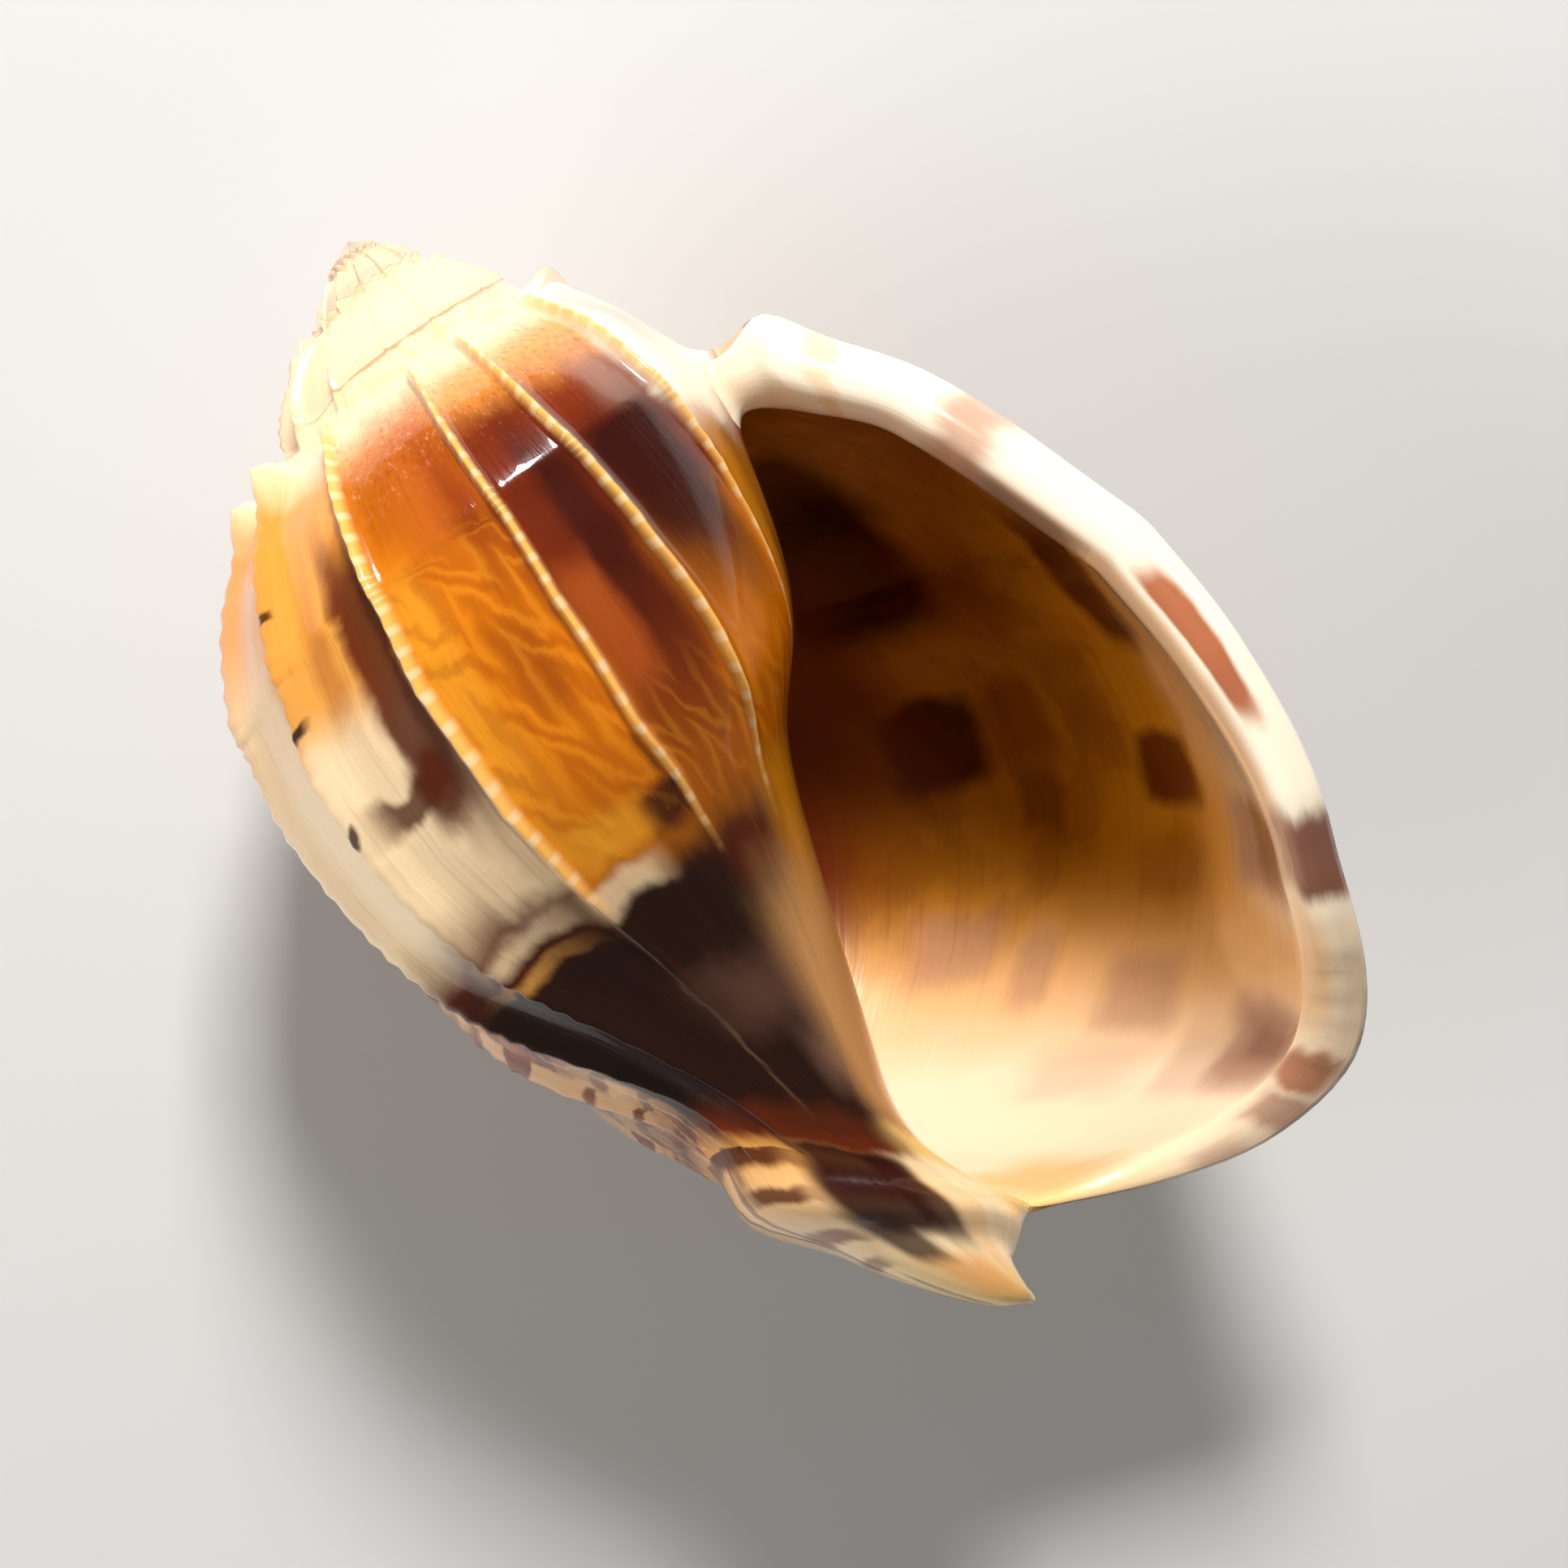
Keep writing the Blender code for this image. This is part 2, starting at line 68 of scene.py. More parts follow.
def smooth(x):
    """0 below 0, 1 above 1, and a smooth rise between."""
    x = np.clip(x, 0.0, 1.0)
    return x * x * (3.0 - 2.0 * x)


def rise(x, start, end):
    """0 up to the start and 1 past the end, with a smooth rise between."""
    return smooth((x - start) / (end - start))


def hump(x, centre, width):
    """1 at the centre, falling to nothing by about two widths either way."""
    return np.exp(-((x - centre) / width) ** 2)


def suture(turn):
    along = LIP_SUTURE[0] * SUTURE_GROWTH[0] ** turn
    radius = LIP_SUTURE[1] * SUTURE_GROWTH[1] ** turn
    return np.array((along, radius * (1.0 - SIDE_FLATTENING * math.sin(math.pi * turn) ** 2)))


for turn in (-2.0, -1.0, 0.0):
    print(f"turn {turn:4.1f}: the suture is {suture(turn)[0]:.1f} mm below the apex, {suture(turn)[1]:.1f} mm out")

# %% [markdown]
# ## The whorl's sections
# Between suture and seam a whorl keeps its shape, given as shares of the way from one to the other and how far it
# bulges there. Below the seam it doesn't: the base draws in to the neck of the columella, and how it does changes
# round the shell. A few sections are given there, and the ones between are found with a smooth curve from key to
# key. The sections at turns -1 and 0 end at the same point, where the notch of the canal closes.

# %% Sections, and below the seam their distances from the apex and radii
WHORL_SHAPE = ((0.0, 0.0), (0.14, 0.01), (0.28, 0.05), (0.62, 0.095), (1.0, 0.0))
LIP_SHAPE = ((0.0, 0.0), (0.06, 0.03), (0.14, 0.075), (0.50, 0.115), (1.0, 0.0))
LIP_SHAPE_TURNS = (-0.14, 0.0)
LOWER_SECTIONS = {
    -3.0: ((3.8, 4.8, 6.5, 9.0, 12.0, 15.0, 18.0, 21.0), (3.3, 3.3, 3.0, 2.7, 2.4, 2.2, 2.1, 2.2)),
    -2.5: ((5.6, 7.2, 10.0, 13.5, 18.0, 23.0, 28.0, 33.0), (3.9, 4.0, 3.8, 3.4, 3.0, 2.8, 2.7, 2.8)),
    -2.0: ((8.6, 11.0, 16.0, 21.5, 28.0, 35.0, 42.0, 49.0), (7.1, 7.1, 6.6, 5.8, 5.2, 4.8, 4.6, 4.8)),
    -1.5: ((12.8, 16.0, 22.0, 28.0, 35.0, 43.0, 51.0, 57.5), (9.3, 9.9, 9.4, 7.8, 6.4, 5.4, 5.0, 5.2)),
    -1.0: ((18.6, 25.0, 33.5, 40.5, 50.0, 60.0, 69.0, 74.2), (16.0, 16.2, 14.4, 10.0, 7.5, 5.5, 3.8, 6.3)),
    -0.75: ((22.5, 28.0, 36.5, 43.0, 50.0, 57.5, 63.5, 68.5), (17.9, 18.0, 16.2, 12.6, 9.2, 7.2, 6.3, 5.2)),
    -0.5: ((27.3, 33.0, 40.5, 46.0, 50.5, 54.5, 58.0, 61.5), (20.1, 20.2, 18.6, 16.3, 13.2, 10.2, 8.0, 6.9)),
    -0.25: ((33.3, 40.0, 48.5, 55.5, 61.0, 64.8, 66.8, 67.5), (26.6, 27.6, 26.4, 23.2, 18.6, 13.8, 9.8, 6.9)),
    0.0: ((40.5, 49.0, 59.0, 68.0, 74.5, 77.3, 77.0, 74.2), (35.2, 36.8, 36.6, 33.2, 27.2, 19.5, 12.0, 6.3)),
}
HOLLOW_REACH = {-1.0: 0.25, -0.75: 0.40, -0.5: 0.82, -0.25: 0.95, 0.0: 1.0}


def between_keys(table, turn):
    """A smooth value between the keyed turns of a table."""
    keys = sorted(table)
    turn = min(max(turn, keys[0]), keys[-1])
    i = min(max(sum(k <= turn for k in keys) - 1, 0), len(keys) - 2)
    around = [keys[max(i - 1, 0)], keys[i], keys[i + 1], keys[min(i + 2, len(keys) - 1)]]
    values = [np.asarray(table[k], float) for k in around]
    step = around[2] - around[1]
    share = (turn - around[1]) / step
    slope_in = (values[2] - values[0]) / max(around[2] - around[0], TINY) * step
    slope_out = (values[3] - values[1]) / max(around[3] - around[1], TINY) * step
    return hermite(values[1], values[2], slope_in, slope_out, share)


def hermite(start, end, slope_in, slope_out, share):
    cube, square = share ** 3, share ** 2
    return (
        (2 * cube - 3 * square + 1) * start
        + (cube - 2 * square + share) * slope_in
        + (3 * square - 2 * cube) * end
        + (cube - square) * slope_out
    )


def control_points(turn):
    """Thirteen points of the section at this turn, one for each knot."""
    top, seam = suture(turn), suture(turn + 1.0)
    chord = seam - top
    outward = np.array((-chord[1], chord[0]))
    near_lip = rise(turn, *LIP_SHAPE_TURNS)
    shape = (1.0 - near_lip) * np.array(WHORL_SHAPE) + near_lip * np.array(LIP_SHAPE)
    upper = [top + share * chord + bulge * outward for share, bulge in shape]
    return np.array(upper + list(between_keys(LOWER_SECTIONS, turn).T))


print("section at the lip:", np.round(control_points(0.0), 1).tolist())

# %% [markdown]
# ## Curves through the sections
# The mesh needs many points on each section, so one function reads them all at once: it takes the control
# points of every column of the mesh, and gives the points at a list of knots, with the direction that points
# into the wall there.

# %% Points across every section
KNOT_STEP = 0.02
SHORTEST_SPAN = 1e-6


def across(points, knots):
    """Points at the knots, on smooth curves through each column's control points."""
    length = np.maximum(np.linalg.norm(np.diff(points, axis=1), axis=2), SHORTEST_SPAN)[..., None]
    slope = np.empty_like(points)
    slope[:, 1:-1] = (points[:, 2:] - points[:, :-2]) / (length[:, 1:] + length[:, :-1])
    slope[:, 0] = (points[:, 1] - points[:, 0]) / length[:, 0]
    slope[:, -1] = (points[:, -1] - points[:, -2]) / length[:, -1]
    span = np.minimum(knots.astype(int), NECK - 1)
    share = (knots - span)[None, :, None]
    step = length[:, span]
    return hermite(points[:, span], points[:, span + 1], slope[:, span] * step, slope[:, span + 1] * step, share)


def into_wall(points, knots):
    """Unit directions into the wall at the knots."""
    ahead, back = np.minimum(knots + KNOT_STEP, NECK), np.maximum(knots - KNOT_STEP, 0.0)
    along = across(points, ahead) - across(points, back)
    inward = np.stack((along[..., 1], -along[..., 0]), axis=-1)
    return inward / np.maximum(np.linalg.norm(inward, axis=-1, keepdims=True), TINY)


# %% [markdown]
# ## Thickness and the hollow
# The wall is about 1.5 mm thick, and the grown-up lip is thickened to about twice that in its upper part. The
# inner face of the wall is the outer one moved in by that much. It starts where it meets the whorl before, just
# inside the mouth, and ends on the columella, the pillar in the middle.

# %% The inner face
WALL, INNERMOST_WALL, LIP_WALL = 1.5, 0.8, 3.2
LIP_WALL_LENGTH = 0.035
THICKENING_TURNS = (-1.32, -0.42)
LOW_LIP_LOSS, LOW_LIP_KNOTS = 0.62, (5.0, 9.0)
SUTURE_WALL_SHARE, SUTURE_WALL_KNOTS = 0.4, (0.6, 2.6)
LIP_CORNER = ((22.2, 18.0), (23.8, 20.8))
CORNER_SLIDE, CORNER_SLIDE_TURNS = 0.65, 0.03
SLIDE_KNOTS, SLIDE_SHARES = (SEAM, INNER_SEAM, 6.5, BASE), (0.0, 1.0, 0.6, 0.0)
HOLLOW_TURNS = 1.0
PILLAR_DEPTH, PILLAR_TURNS = 2.6, (0.0, -0.12)


def wall_thickness(turn, knot):
    near_lip = hump(turn, 0.0, LIP_WALL_LENGTH)
    upper = 1.0 - LOW_LIP_LOSS * rise(knot, *LOW_LIP_KNOTS)
    near_suture = SUTURE_WALL_SHARE + (1.0 - SUTURE_WALL_SHARE) * rise(knot, *SUTURE_WALL_KNOTS)
    wall = INNERMOST_WALL + (WALL - INNERMOST_WALL) * rise(turn, *THICKENING_TURNS)
    return near_suture * (wall + (LIP_WALL - WALL) * near_lip * upper)


def slid_knots(turn, knots):
    """Near the mouth the lip's callus reaches further down the whorl before, so the knots slide there."""
    near_mouth = hump(turn, -1.0, CORNER_SLIDE_TURNS)
    return knots + CORNER_SLIDE * near_mouth * np.interp(knots, SLIDE_KNOTS, SLIDE_SHARES)


def hollow_floor(turn, points):
    """Where the inner face meets the pillar."""
    knot = np.array([BASE + (NECK - BASE) * float(between_keys(HOLLOW_REACH, turn))])
    depth = PILLAR_DEPTH * rise(turn, *PILLAR_TURNS)
    return across(points[None], knot)[0, 0] + depth * into_wall(points[None], knot)[0, 0]


def inner_control_points(turn):
    points = control_points(turn)
    reach = float(between_keys(HOLLOW_REACH, turn))
    knots = np.arange(1.0, NECK)
    knots = np.where(knots > BASE, BASE + (knots - BASE) * reach, knots)
    thick = wall_thickness(turn, knots)[:, None]
    face = across(points[None], knots)[0] + thick * into_wall(points[None], knots)[0]
    face[:2] += hump(turn, 0.0, LIP_WALL_LENGTH) * (np.array(LIP_CORNER) - face[:2])
    start = across(control_points(turn - 1.0)[None], slid_knots(turn - 1.0, np.array([float(INNER_SEAM)])))[0]
    return np.vstack((start, face, hollow_floor(turn, points)))


print("wall at the lip's shoulder:", round(float(wall_thickness(0.0, 3.0)), 2), "mm")

# %% [markdown]
# ## Ribs
# Thirteen ribs stand on each turn. Every rib is an old lip that the shell left standing when growth went on, and
# they keep the same places on every whorl. A rib rises slowly on its older side and drops steeply on the side
# towards the lip. Their azimuths aren't quite even, so they are listed.

# %% Where the ribs are
RIB_AZIMUTHS = (10.0, 40.0, 72.0, 95.0, 123.0, 151.0, 178.0, 206.0, 234.0, 262.0, 289.0, 316.0, 343.0)
RIBS = len(RIB_AZIMUTHS)
RIB_PHASES = (
    -0.41, -0.29, -0.20, -0.14, -0.09, -0.055, -0.03, -0.01, 0.01, 0.03, 0.05, 0.08, 0.13, 0.21, 0.32, 0.45,
)
MOST_TURNS = 5
TURN_LOOKUP = np.linspace(-0.2, 1.2, 20001)
NARROWEST_COLUMN = 0.0015


def rib_number(turn):
    """Ribs counted from the one at the lip, negative towards the apex. Whole numbers are crests."""
    count = np.arange(-MOST_TURNS * RIBS, RIBS + 1)
    crests = np.array(RIB_AZIMUTHS)[count % RIBS] + 360.0 * (count // RIBS)
    return np.interp(LIP_AZIMUTH + 360.0 * np.asarray(turn), crests, count)


def column_turns():
    """Turns from 0 to 1 at which the wall is cut into columns, closer together on the crests."""
    wanted = [k + phase for k in range(-1, RIBS + 2) for phase in RIB_PHASES]
    turns = np.interp(wanted, rib_number(TURN_LOOKUP), TURN_LOOKUP)
    kept = (turns > NARROWEST_COLUMN) & (turns < 1.0 - NARROWEST_COLUMN)
    return np.concatenate(((0.0,), turns[kept]))


STATIONS = column_turns()
PER_TURN = len(STATIONS)
print(PER_TURN, "columns to a turn")

# %% [markdown]
# ## Ribs that wander
# Above the mouth the ribs lean back from their even places, as they do in the photo. The table says how far, in
# widths between ribs, at a few knots of each rib, and the curve from knot to knot goes by the millimetres between
# them. The mesh's columns move with the ribs, so that there are always plenty of points on a crest.

# %% How far the ribs lie from their places
KNOT_LENGTHS = (0.0, 2.2, 4.4, 9.7, 15.6, 17.6, 23.1, 31.8, 39.2, 47.0, 54.8, 60.9, 66.0)
WANDER_KNOTS = (0, 2, 3, 4, 6, 7, 8, 10, 12)
RIB_WANDER = {
    -13: (0.0,) * 9,
    -12: (0.0, 0.02, 0.05, 0.03, -0.24, -0.56, -0.58, -0.3, 0.0),
    -11: (0.0, 0.0, -0.02, -0.11, -0.34, -0.54, -0.60, -0.3, 0.0),
    -10: (0.0, -0.22, -0.27, -0.35, -0.50, -0.57, -0.60, -0.3, 0.0),
    -9: (0.0, -0.10, -0.22, -0.29, -0.34, -0.32, -0.15, 0.0, 0.0),
    -8: (0.0, -0.15, -0.28, -0.31, -0.21, -0.09, 0.10, 0.1, 0.0),
    -7: (0.0, -0.12, -0.15, -0.22, -0.16, -0.06, 0.05, 0.0, 0.0),
    -6: (0.0, -0.1, -0.1, -0.15, -0.15, -0.1, 0.0, 0.0, 0.0),
    -1: (0.0, -0.1, -0.1, -0.1, -0.1, -0.1, 0.0, 0.0, 0.0),
    0: (0.0,) * 9,
}
SPIRE_LOOKUP = np.linspace(-3.9, 0.5, 44001)


def smooth_through(x, places, values):
    """A smooth curve through the values, level where they turn."""
    places, values = np.array(places, float), np.array(values, float)
    slopes = np.gradient(values, places)
    i = np.clip(np.searchsorted(places, x, side="right") - 1, 0, len(places) - 2)
    step = places[i + 1] - places[i]
    share = (np.clip(x, places[0], places[-1]) - places[i]) / step
    return hermite(values[i], values[i + 1], slopes[i] * step, slopes[i + 1] * step, share)


def wander(ribs, knots):
    along = np.interp(knots, range(NECK + 1), KNOT_LENGTHS)
    places = [KNOT_LENGTHS[knot] for knot in WANDER_KNOTS]
    rows = np.array([smooth_through(along, places, row) for row in RIB_WANDER.values()])
    return np.array([smooth_through(ribs, list(RIB_WANDER), column) for column in rows.T]).T


def turn_of_rib(ribs):
    return np.interp(ribs, rib_number(SPIRE_LOOKUP), SPIRE_LOOKUP)


leaning = wander(np.array([-12.0]), np.array([7.0]))[0, 0]
print(f"the rib beside the mouth lies back by {-leaning:.2f} of a gap")

# %% [markdown]
# ## The mesh, unrolled
# The wall is one closed skin: the outside of the spire and of the last whorl, round the lip's rim, in over the
# inner face, and out along the whorl before. It is first made unrolled: a point's X is its turn, Y its distance
# from the apex and Z its distance from the axis. Geometry Nodes then wind it up. The places where whorls touch
# share their points, so the skin has no seams. Each face corner keeps its own rib number and knot as a UV map,
# which the materials read, and each face the side that it is on.

# %% Rows of points across the whorl
STEPS_PER_SPAN = (6, 8, 10, 8, 6, 8, 10, 8, 8, 6, 6, 8)
RIM_STEPS = STEPS_PER_SPAN[SEAM]
TIP_STEPS = 16
KNOTS = np.array([0.0] + [s + (i + 1) / n for s, n in enumerate(STEPS_PER_SPAN) for i in range(n)])
ROW = {knot: int(np.argmin(np.abs(KNOTS - knot))) for knot in (SEAM, INNER_SEAM, NECK)}
OUTSIDE, INSIDE, RIM = 0, 1, 2
SIDES = ("Outside", "Inside", "Lip")
FIRST = int(round(APEX_TURN * PER_TURN))
HOLLOW_END = -int(round(HOLLOW_TURNS * PER_TURN))
BEFORE_LIP = -1 - PER_TURN


def turn_of(columns):
    columns = np.asarray(columns)
    return columns // PER_TURN + STATIONS[columns % PER_TURN]


class Skin:
    """Collects points, with what is known at each, and faces, with their corners' UVs and sides."""

    def __init__(self):
        self.points, self.outward, self.knots, self.ribbed, self.ribs = [], [], [], [], []
        self.faces, self.uvs, self.sides = [], [], []
        self.count = 0

    def add(self, turn, section, outward, knot, ribbed, rib=None):
        """Adds a block of points and returns their numbers."""
        shape = section.shape[:-1]
        turn, knot = np.broadcast_to(turn, shape), np.broadcast_to(knot, shape)
        self.ribs.append(np.broadcast_to(rib_number(turn) if rib is None else rib, shape).reshape(-1))
        self.points.append(np.concatenate((turn[..., None], section), axis=-1).reshape(-1, 3))
        self.outward.append(np.broadcast_to(outward, section.shape).reshape(-1, 2))
        self.knots.append(knot.reshape(-1))
        self.ribbed.append(np.full(turn.size, float(ribbed)))
        numbers = self.count + np.arange(turn.size).reshape(shape)
        self.count += turn.size
        return numbers

    def grid(self, numbers, u, v, side):
        """Joins a block of points with faces; repeated points make a triangle."""
        u, v = np.broadcast_to(u, numbers.shape), np.broadcast_to(v, numbers.shape)
        corners = [(slice(None, -1), slice(None, -1)), (slice(1, None), slice(None, -1)),
                   (slice(1, None), slice(1, None)), (slice(None, -1), slice(1, None))]
        quads = np.stack([numbers[c] for c in corners], -1).reshape(-1, 4)
        us = np.stack([u[c] for c in corners], -1).reshape(-1, 4)
        vs = np.stack([v[c] for c in corners], -1).reshape(-1, 4)
        for quad, a, b in zip(quads.tolist(), us.tolist(), vs.tolist()):
            kept = [i for i in range(4) if quad[i] != quad[i - 1]]
            if len(kept) > 2:
                self.faces.append([quad[i] for i in kept])
                self.uvs.extend((a[i], b[i]) for i in kept)
                self.sides.append(side)

    def fan(self, ring, us, vs, centre, centre_uv, side):
        for i in range(len(ring) - 1):
            if ring[i] != ring[i + 1]:
                self.faces.append([int(ring[i + 1]), int(ring[i]), int(centre)])
                self.uvs.extend(((us[i + 1], vs[i + 1]), (us[i], vs[i]), centre_uv))
                self.sides.append(side)


# %% The outside of the spire and of the last whorl
FIRST_STEADY_KNOT = 0.3
MOUTH_TURNS = 0.08
skin = Skin()
columns = np.arange(FIRST, 1)
turns = turn_of(columns)
sections = np.array([control_points(t) for t in turns])
outer_section = across(sections, KNOTS)
outer_outward = -into_wall(sections, np.maximum(KNOTS, FIRST_STEADY_KNOT))
body = columns >= -PER_TURN
spire = ~body

ribs_at = rib_number(turns)
moved = turn_of_rib(ribs_at[body, None] + wander(ribs_at[body], KNOTS))
moved[0], moved[-1] = -1.0, 0.0
body_section = np.stack([
    np.stack([np.interp(moved[:, k], turns, outer_section[:, k, i]) for i in (0, 1)], -1)
    for k in range(len(KNOTS))
], 1)
for column in np.nonzero(np.abs(turns[body] + 1.0) < MOUTH_TURNS)[0]:
    slid = slid_knots(turns[body][column], KNOTS)
    body_section[column] = np.stack([np.interp(slid, KNOTS, body_section[column, :, i]) for i in (0, 1)], -1)

above = slice(None, ROW[SEAM])
outer = np.full((len(columns), len(KNOTS)), -1)
outer[body] = skin.add(moved, body_section, outer_outward[body], KNOTS, 1.0, ribs_at[body, None])
outer[spire, above] = skin.add(
    turns[spire, None], outer_section[spire, above], outer_outward[spire, above], KNOTS[above], 1.0
)
shared = np.nonzero(columns <= -PER_TURN)[0]
outer[shared, ROW[SEAM]] = outer[shared + PER_TURN, 0]
outer[BEFORE_LIP, ROW[NECK]] = outer[-1, ROW[NECK]]
upper, early = slice(None, ROW[SEAM] + 1), slice(None, len(columns) - PER_TURN)
skin.grid(outer[early, upper], ribs_at[early, None], KNOTS[upper], OUTSIDE)
skin.grid(outer[BEFORE_LIP:], ribs_at[BEFORE_LIP:, None], KNOTS, OUTSIDE)
print("outside:", len(skin.faces), "faces")

# %% The point of the apex
APEX_BLUNTNESS = 0.45
ring = list(outer[:PER_TURN, 0]) + list(outer[0, ROW[SEAM]::-1])
ring_u = list(ribs_at[:PER_TURN]) + [ribs_at[0]] * (ROW[SEAM] + 1)
ring_v = [0.0] * PER_TURN + list(KNOTS[ROW[SEAM]::-1])
apex = skin.add(np.array([APEX_TURN]), np.array([[APEX_BLUNTNESS, 0.0]]), np.zeros(2), 0.0, 0.0)
skin.fan(ring, ring_u, ring_v, apex[0], (ribs_at[0], 0.0), OUTSIDE)

# %% The hollow: its two faces and its blind end
END_KNOT = 6.0
deep = np.arange(HOLLOW_END, 1)
deep_turns = turn_of(deep)
deep_ribs = rib_number(deep_turns)
inner_sections = np.array([inner_control_points(t) for t in deep_turns])
inner_section = across(inner_sections, KNOTS)
wall_before = sections[deep - PER_TURN - FIRST].copy()
wall_before[:, NECK] = inner_sections[:, NECK]
before_section = np.stack([
    across(section[None], slid_knots(turn - 1.0, KNOTS))[0] for section, turn in zip(wall_before, deep_turns)
])
before_outward = -into_wall(wall_before, KNOTS)

low = slice(ROW[INNER_SEAM], None)
before = skin.add(deep_turns[:, None] - 1.0, before_section[:, low], before_outward[:, low], KNOTS[low], 1.0)
before[-1] = outer[BEFORE_LIP, low]
inner = skin.add(deep_turns[:, None], inner_section, np.zeros(2), KNOTS, 0.0)
inner[:, 0] = before[:, 0]
inner[:, -1] = before[:, -1]
skin.grid(before, deep_ribs[:, None] - RIBS, KNOTS[low], OUTSIDE)
skin.grid(inner[:, ::-1], deep_ribs[:, None], KNOTS[::-1], INSIDE)
ring = list(inner[0]) + list(before[0, -2::-1])
middle = (inner_section[0, len(KNOTS) // 2] + before_section[0, -len(KNOTS) // 3]) / 2
end = skin.add(deep_turns[:1], middle[None], np.zeros(2), END_KNOT, 0.0)
skin.fan(ring, [deep_ribs[0]] * len(ring), [END_KNOT] * len(ring), end[0], (deep_ribs[0], END_KNOT), INSIDE)
print("with the hollow:", len(skin.faces), "faces")

# %% [markdown]
# ## The rim of the lip
# The grown-up lip is rounded like a bead, so the rim bulges forward between its outer and inner edge. Near its
# upper end there is a small notch and a spine, and its lower edge has fine, low teeth.

# %% The rim
RIM_SHARES = (1.0 - np.cos(np.pi * np.arange(1, RIM_STEPS) / RIM_STEPS)) / 2.0
BEAD_SHARE, WIDEST_BEAD, LOW_BEAD_LOSS, LOW_BEAD_KNOTS = 0.62, 3.4, 0.6, (7.5, 9.5)
NOTCH_DEPTH, NOTCH_KNOTS, NOTCH_SHARES = 0.9, (1.6, 0.7), (0.3, 0.12)
RIM_SPINE, RIM_SPINE_WIDTH = 0.9, 0.3
TOOTH_HEIGHT, TOOTH_SPACING, FIRST_TEETH, LAST_TEETH = 0.15, 0.30, (6.8, 7.3), (10.4, 9.9)
UPPER_END, LOWER_END = (0.0, 0.8), (NECK, NECK - 1.2)


def rim_reach(knot, share, thickness):
    """How far forward, in millimetres, the rim stands at a share of the way from its outer to its inner edge."""
    arch = np.sin(np.pi * share)
    bead = BEAD_SHARE * np.minimum(thickness, WIDEST_BEAD) * (1.0 - LOW_BEAD_LOSS * rise(knot, *LOW_BEAD_KNOTS))
    notch = NOTCH_DEPTH * hump(knot, *NOTCH_KNOTS) * hump(share, *NOTCH_SHARES)
    spine = RIM_SPINE * hump(knot, SHOULDER, RIM_SPINE_WIDTH) * (1.0 - share)
    teeth = TOOTH_HEIGHT * np.cos(2.0 * np.pi * knot / TOOTH_SPACING)
    teeth = teeth * rise(knot, *FIRST_TEETH) * rise(knot, *LAST_TEETH)
    return bead * arch + (spine - notch + teeth) * arch ** 0.5


outer_edge, inner_edge = outer_section[-1], inner_section[-1]
thick = np.linalg.norm(inner_edge - outer_edge, axis=1)
ends = rise(KNOTS, *UPPER_END) * rise(KNOTS, *LOWER_END)
rim = [outer[-1]]
for k, share in enumerate(RIM_SHARES):
    place = outer_edge + share * (inner_edge - outer_edge)
    forward = ends * rim_reach(KNOTS, share, thick) / (2.0 * np.pi * np.maximum(place[:, 1], 1.0))
    row = skin.add(forward, place, outer_outward[-1] * (1.0 - share), KNOTS, 0.0)
    row[0] = outer[BEFORE_LIP, ROW[SEAM] + k + 1]
    row[-1] = outer[-1, -1]
    rim.append(row)
rim.append(inner[-1])
rim_u = np.concatenate(((0.0,), RIM_SHARES, (1.0,)))
skin.grid(np.array(rim), rim_u[:, None], KNOTS, RIM)

# %% [markdown]
# ## The tip of the columella
# Below the neck the pillar ends in a twisted point, the canal's tip, bent a little off the coiling axis. Round
# it runs the fasciole, a swollen band that old notches left.

# %% The tip
FASCIOLE_HEIGHT, FASCIOLE_SHARE = 1.3, 0.5
TIP_RADIUS, TIP_ROUNDING = 0.9, 0.2
TIP_TAPER, NOTCH_TAPER, NOTCH_ANGLE = 0.55, 1.75, 50.0

neck = outer[BEFORE_LIP:, -1]
neck_section = outer_section[BEFORE_LIP:, -1].copy()
neck_section[0] = neck_section[-1]
neck_turns = turns[BEFORE_LIP:]
near_notch = hump(np.minimum(-neck_turns, 1.0 + neck_turns) * 360.0, 0.0, NOTCH_ANGLE)
rings = [neck]
shares = np.arange(1, TIP_STEPS) / TIP_STEPS
for share in shares:
    along = neck_section[:, 0] + (SHELL_LENGTH - neck_section[:, 0]) * share
    bump = FASCIOLE_HEIGHT * math.sin(math.pi * min(share / FASCIOLE_SHARE, 1.0)) ** 2 * (1.0 - near_notch)
    round_end = TIP_RADIUS * math.sqrt(min((1.0 - share) / TIP_ROUNDING, 1.0))
    taper = (1.0 - share) ** (TIP_TAPER + NOTCH_TAPER * near_notch)
    section = np.stack((along, np.maximum(neck_section[:, 1] * taper + bump, round_end)), -1)[:-1]
    ring = skin.add(neck_turns[:-1], section, np.array((0.0, 1.0)), NECK + share, 0.0)
    rings.append(np.append(ring, ring[0]))
tip_ribs = rib_number(neck_turns)
tip_knots = NECK + np.concatenate(((0.0,), shares))
skin.grid(np.array(rings).T, tip_ribs[:, None], tip_knots, OUTSIDE)
tip = skin.add(np.array([-0.5]), np.array([[SHELL_LENGTH, 0.0]]), np.zeros(2), NECK + 1.0, 0.0)
last_ring_knots = [tip_knots[-1]] * len(tip_ribs)
skin.fan(rings[-1][::-1], tip_ribs[::-1], last_ring_knots, tip[0], (tip_ribs[0], NECK + 1.0), OUTSIDE)
print("whole skin:", skin.count, "points,", len(skin.faces), "faces")

# %% [markdown]
# ## What each point knows
# The winding tree needs a few numbers at each point: its rib number, how far the growth line leans back there,
# which way is outward in the section, and how much room the ribs, the shoulder spines and the thick last rib
# have. Ribs fade towards the apex, under the glaze beside the mouth, and near the neck.

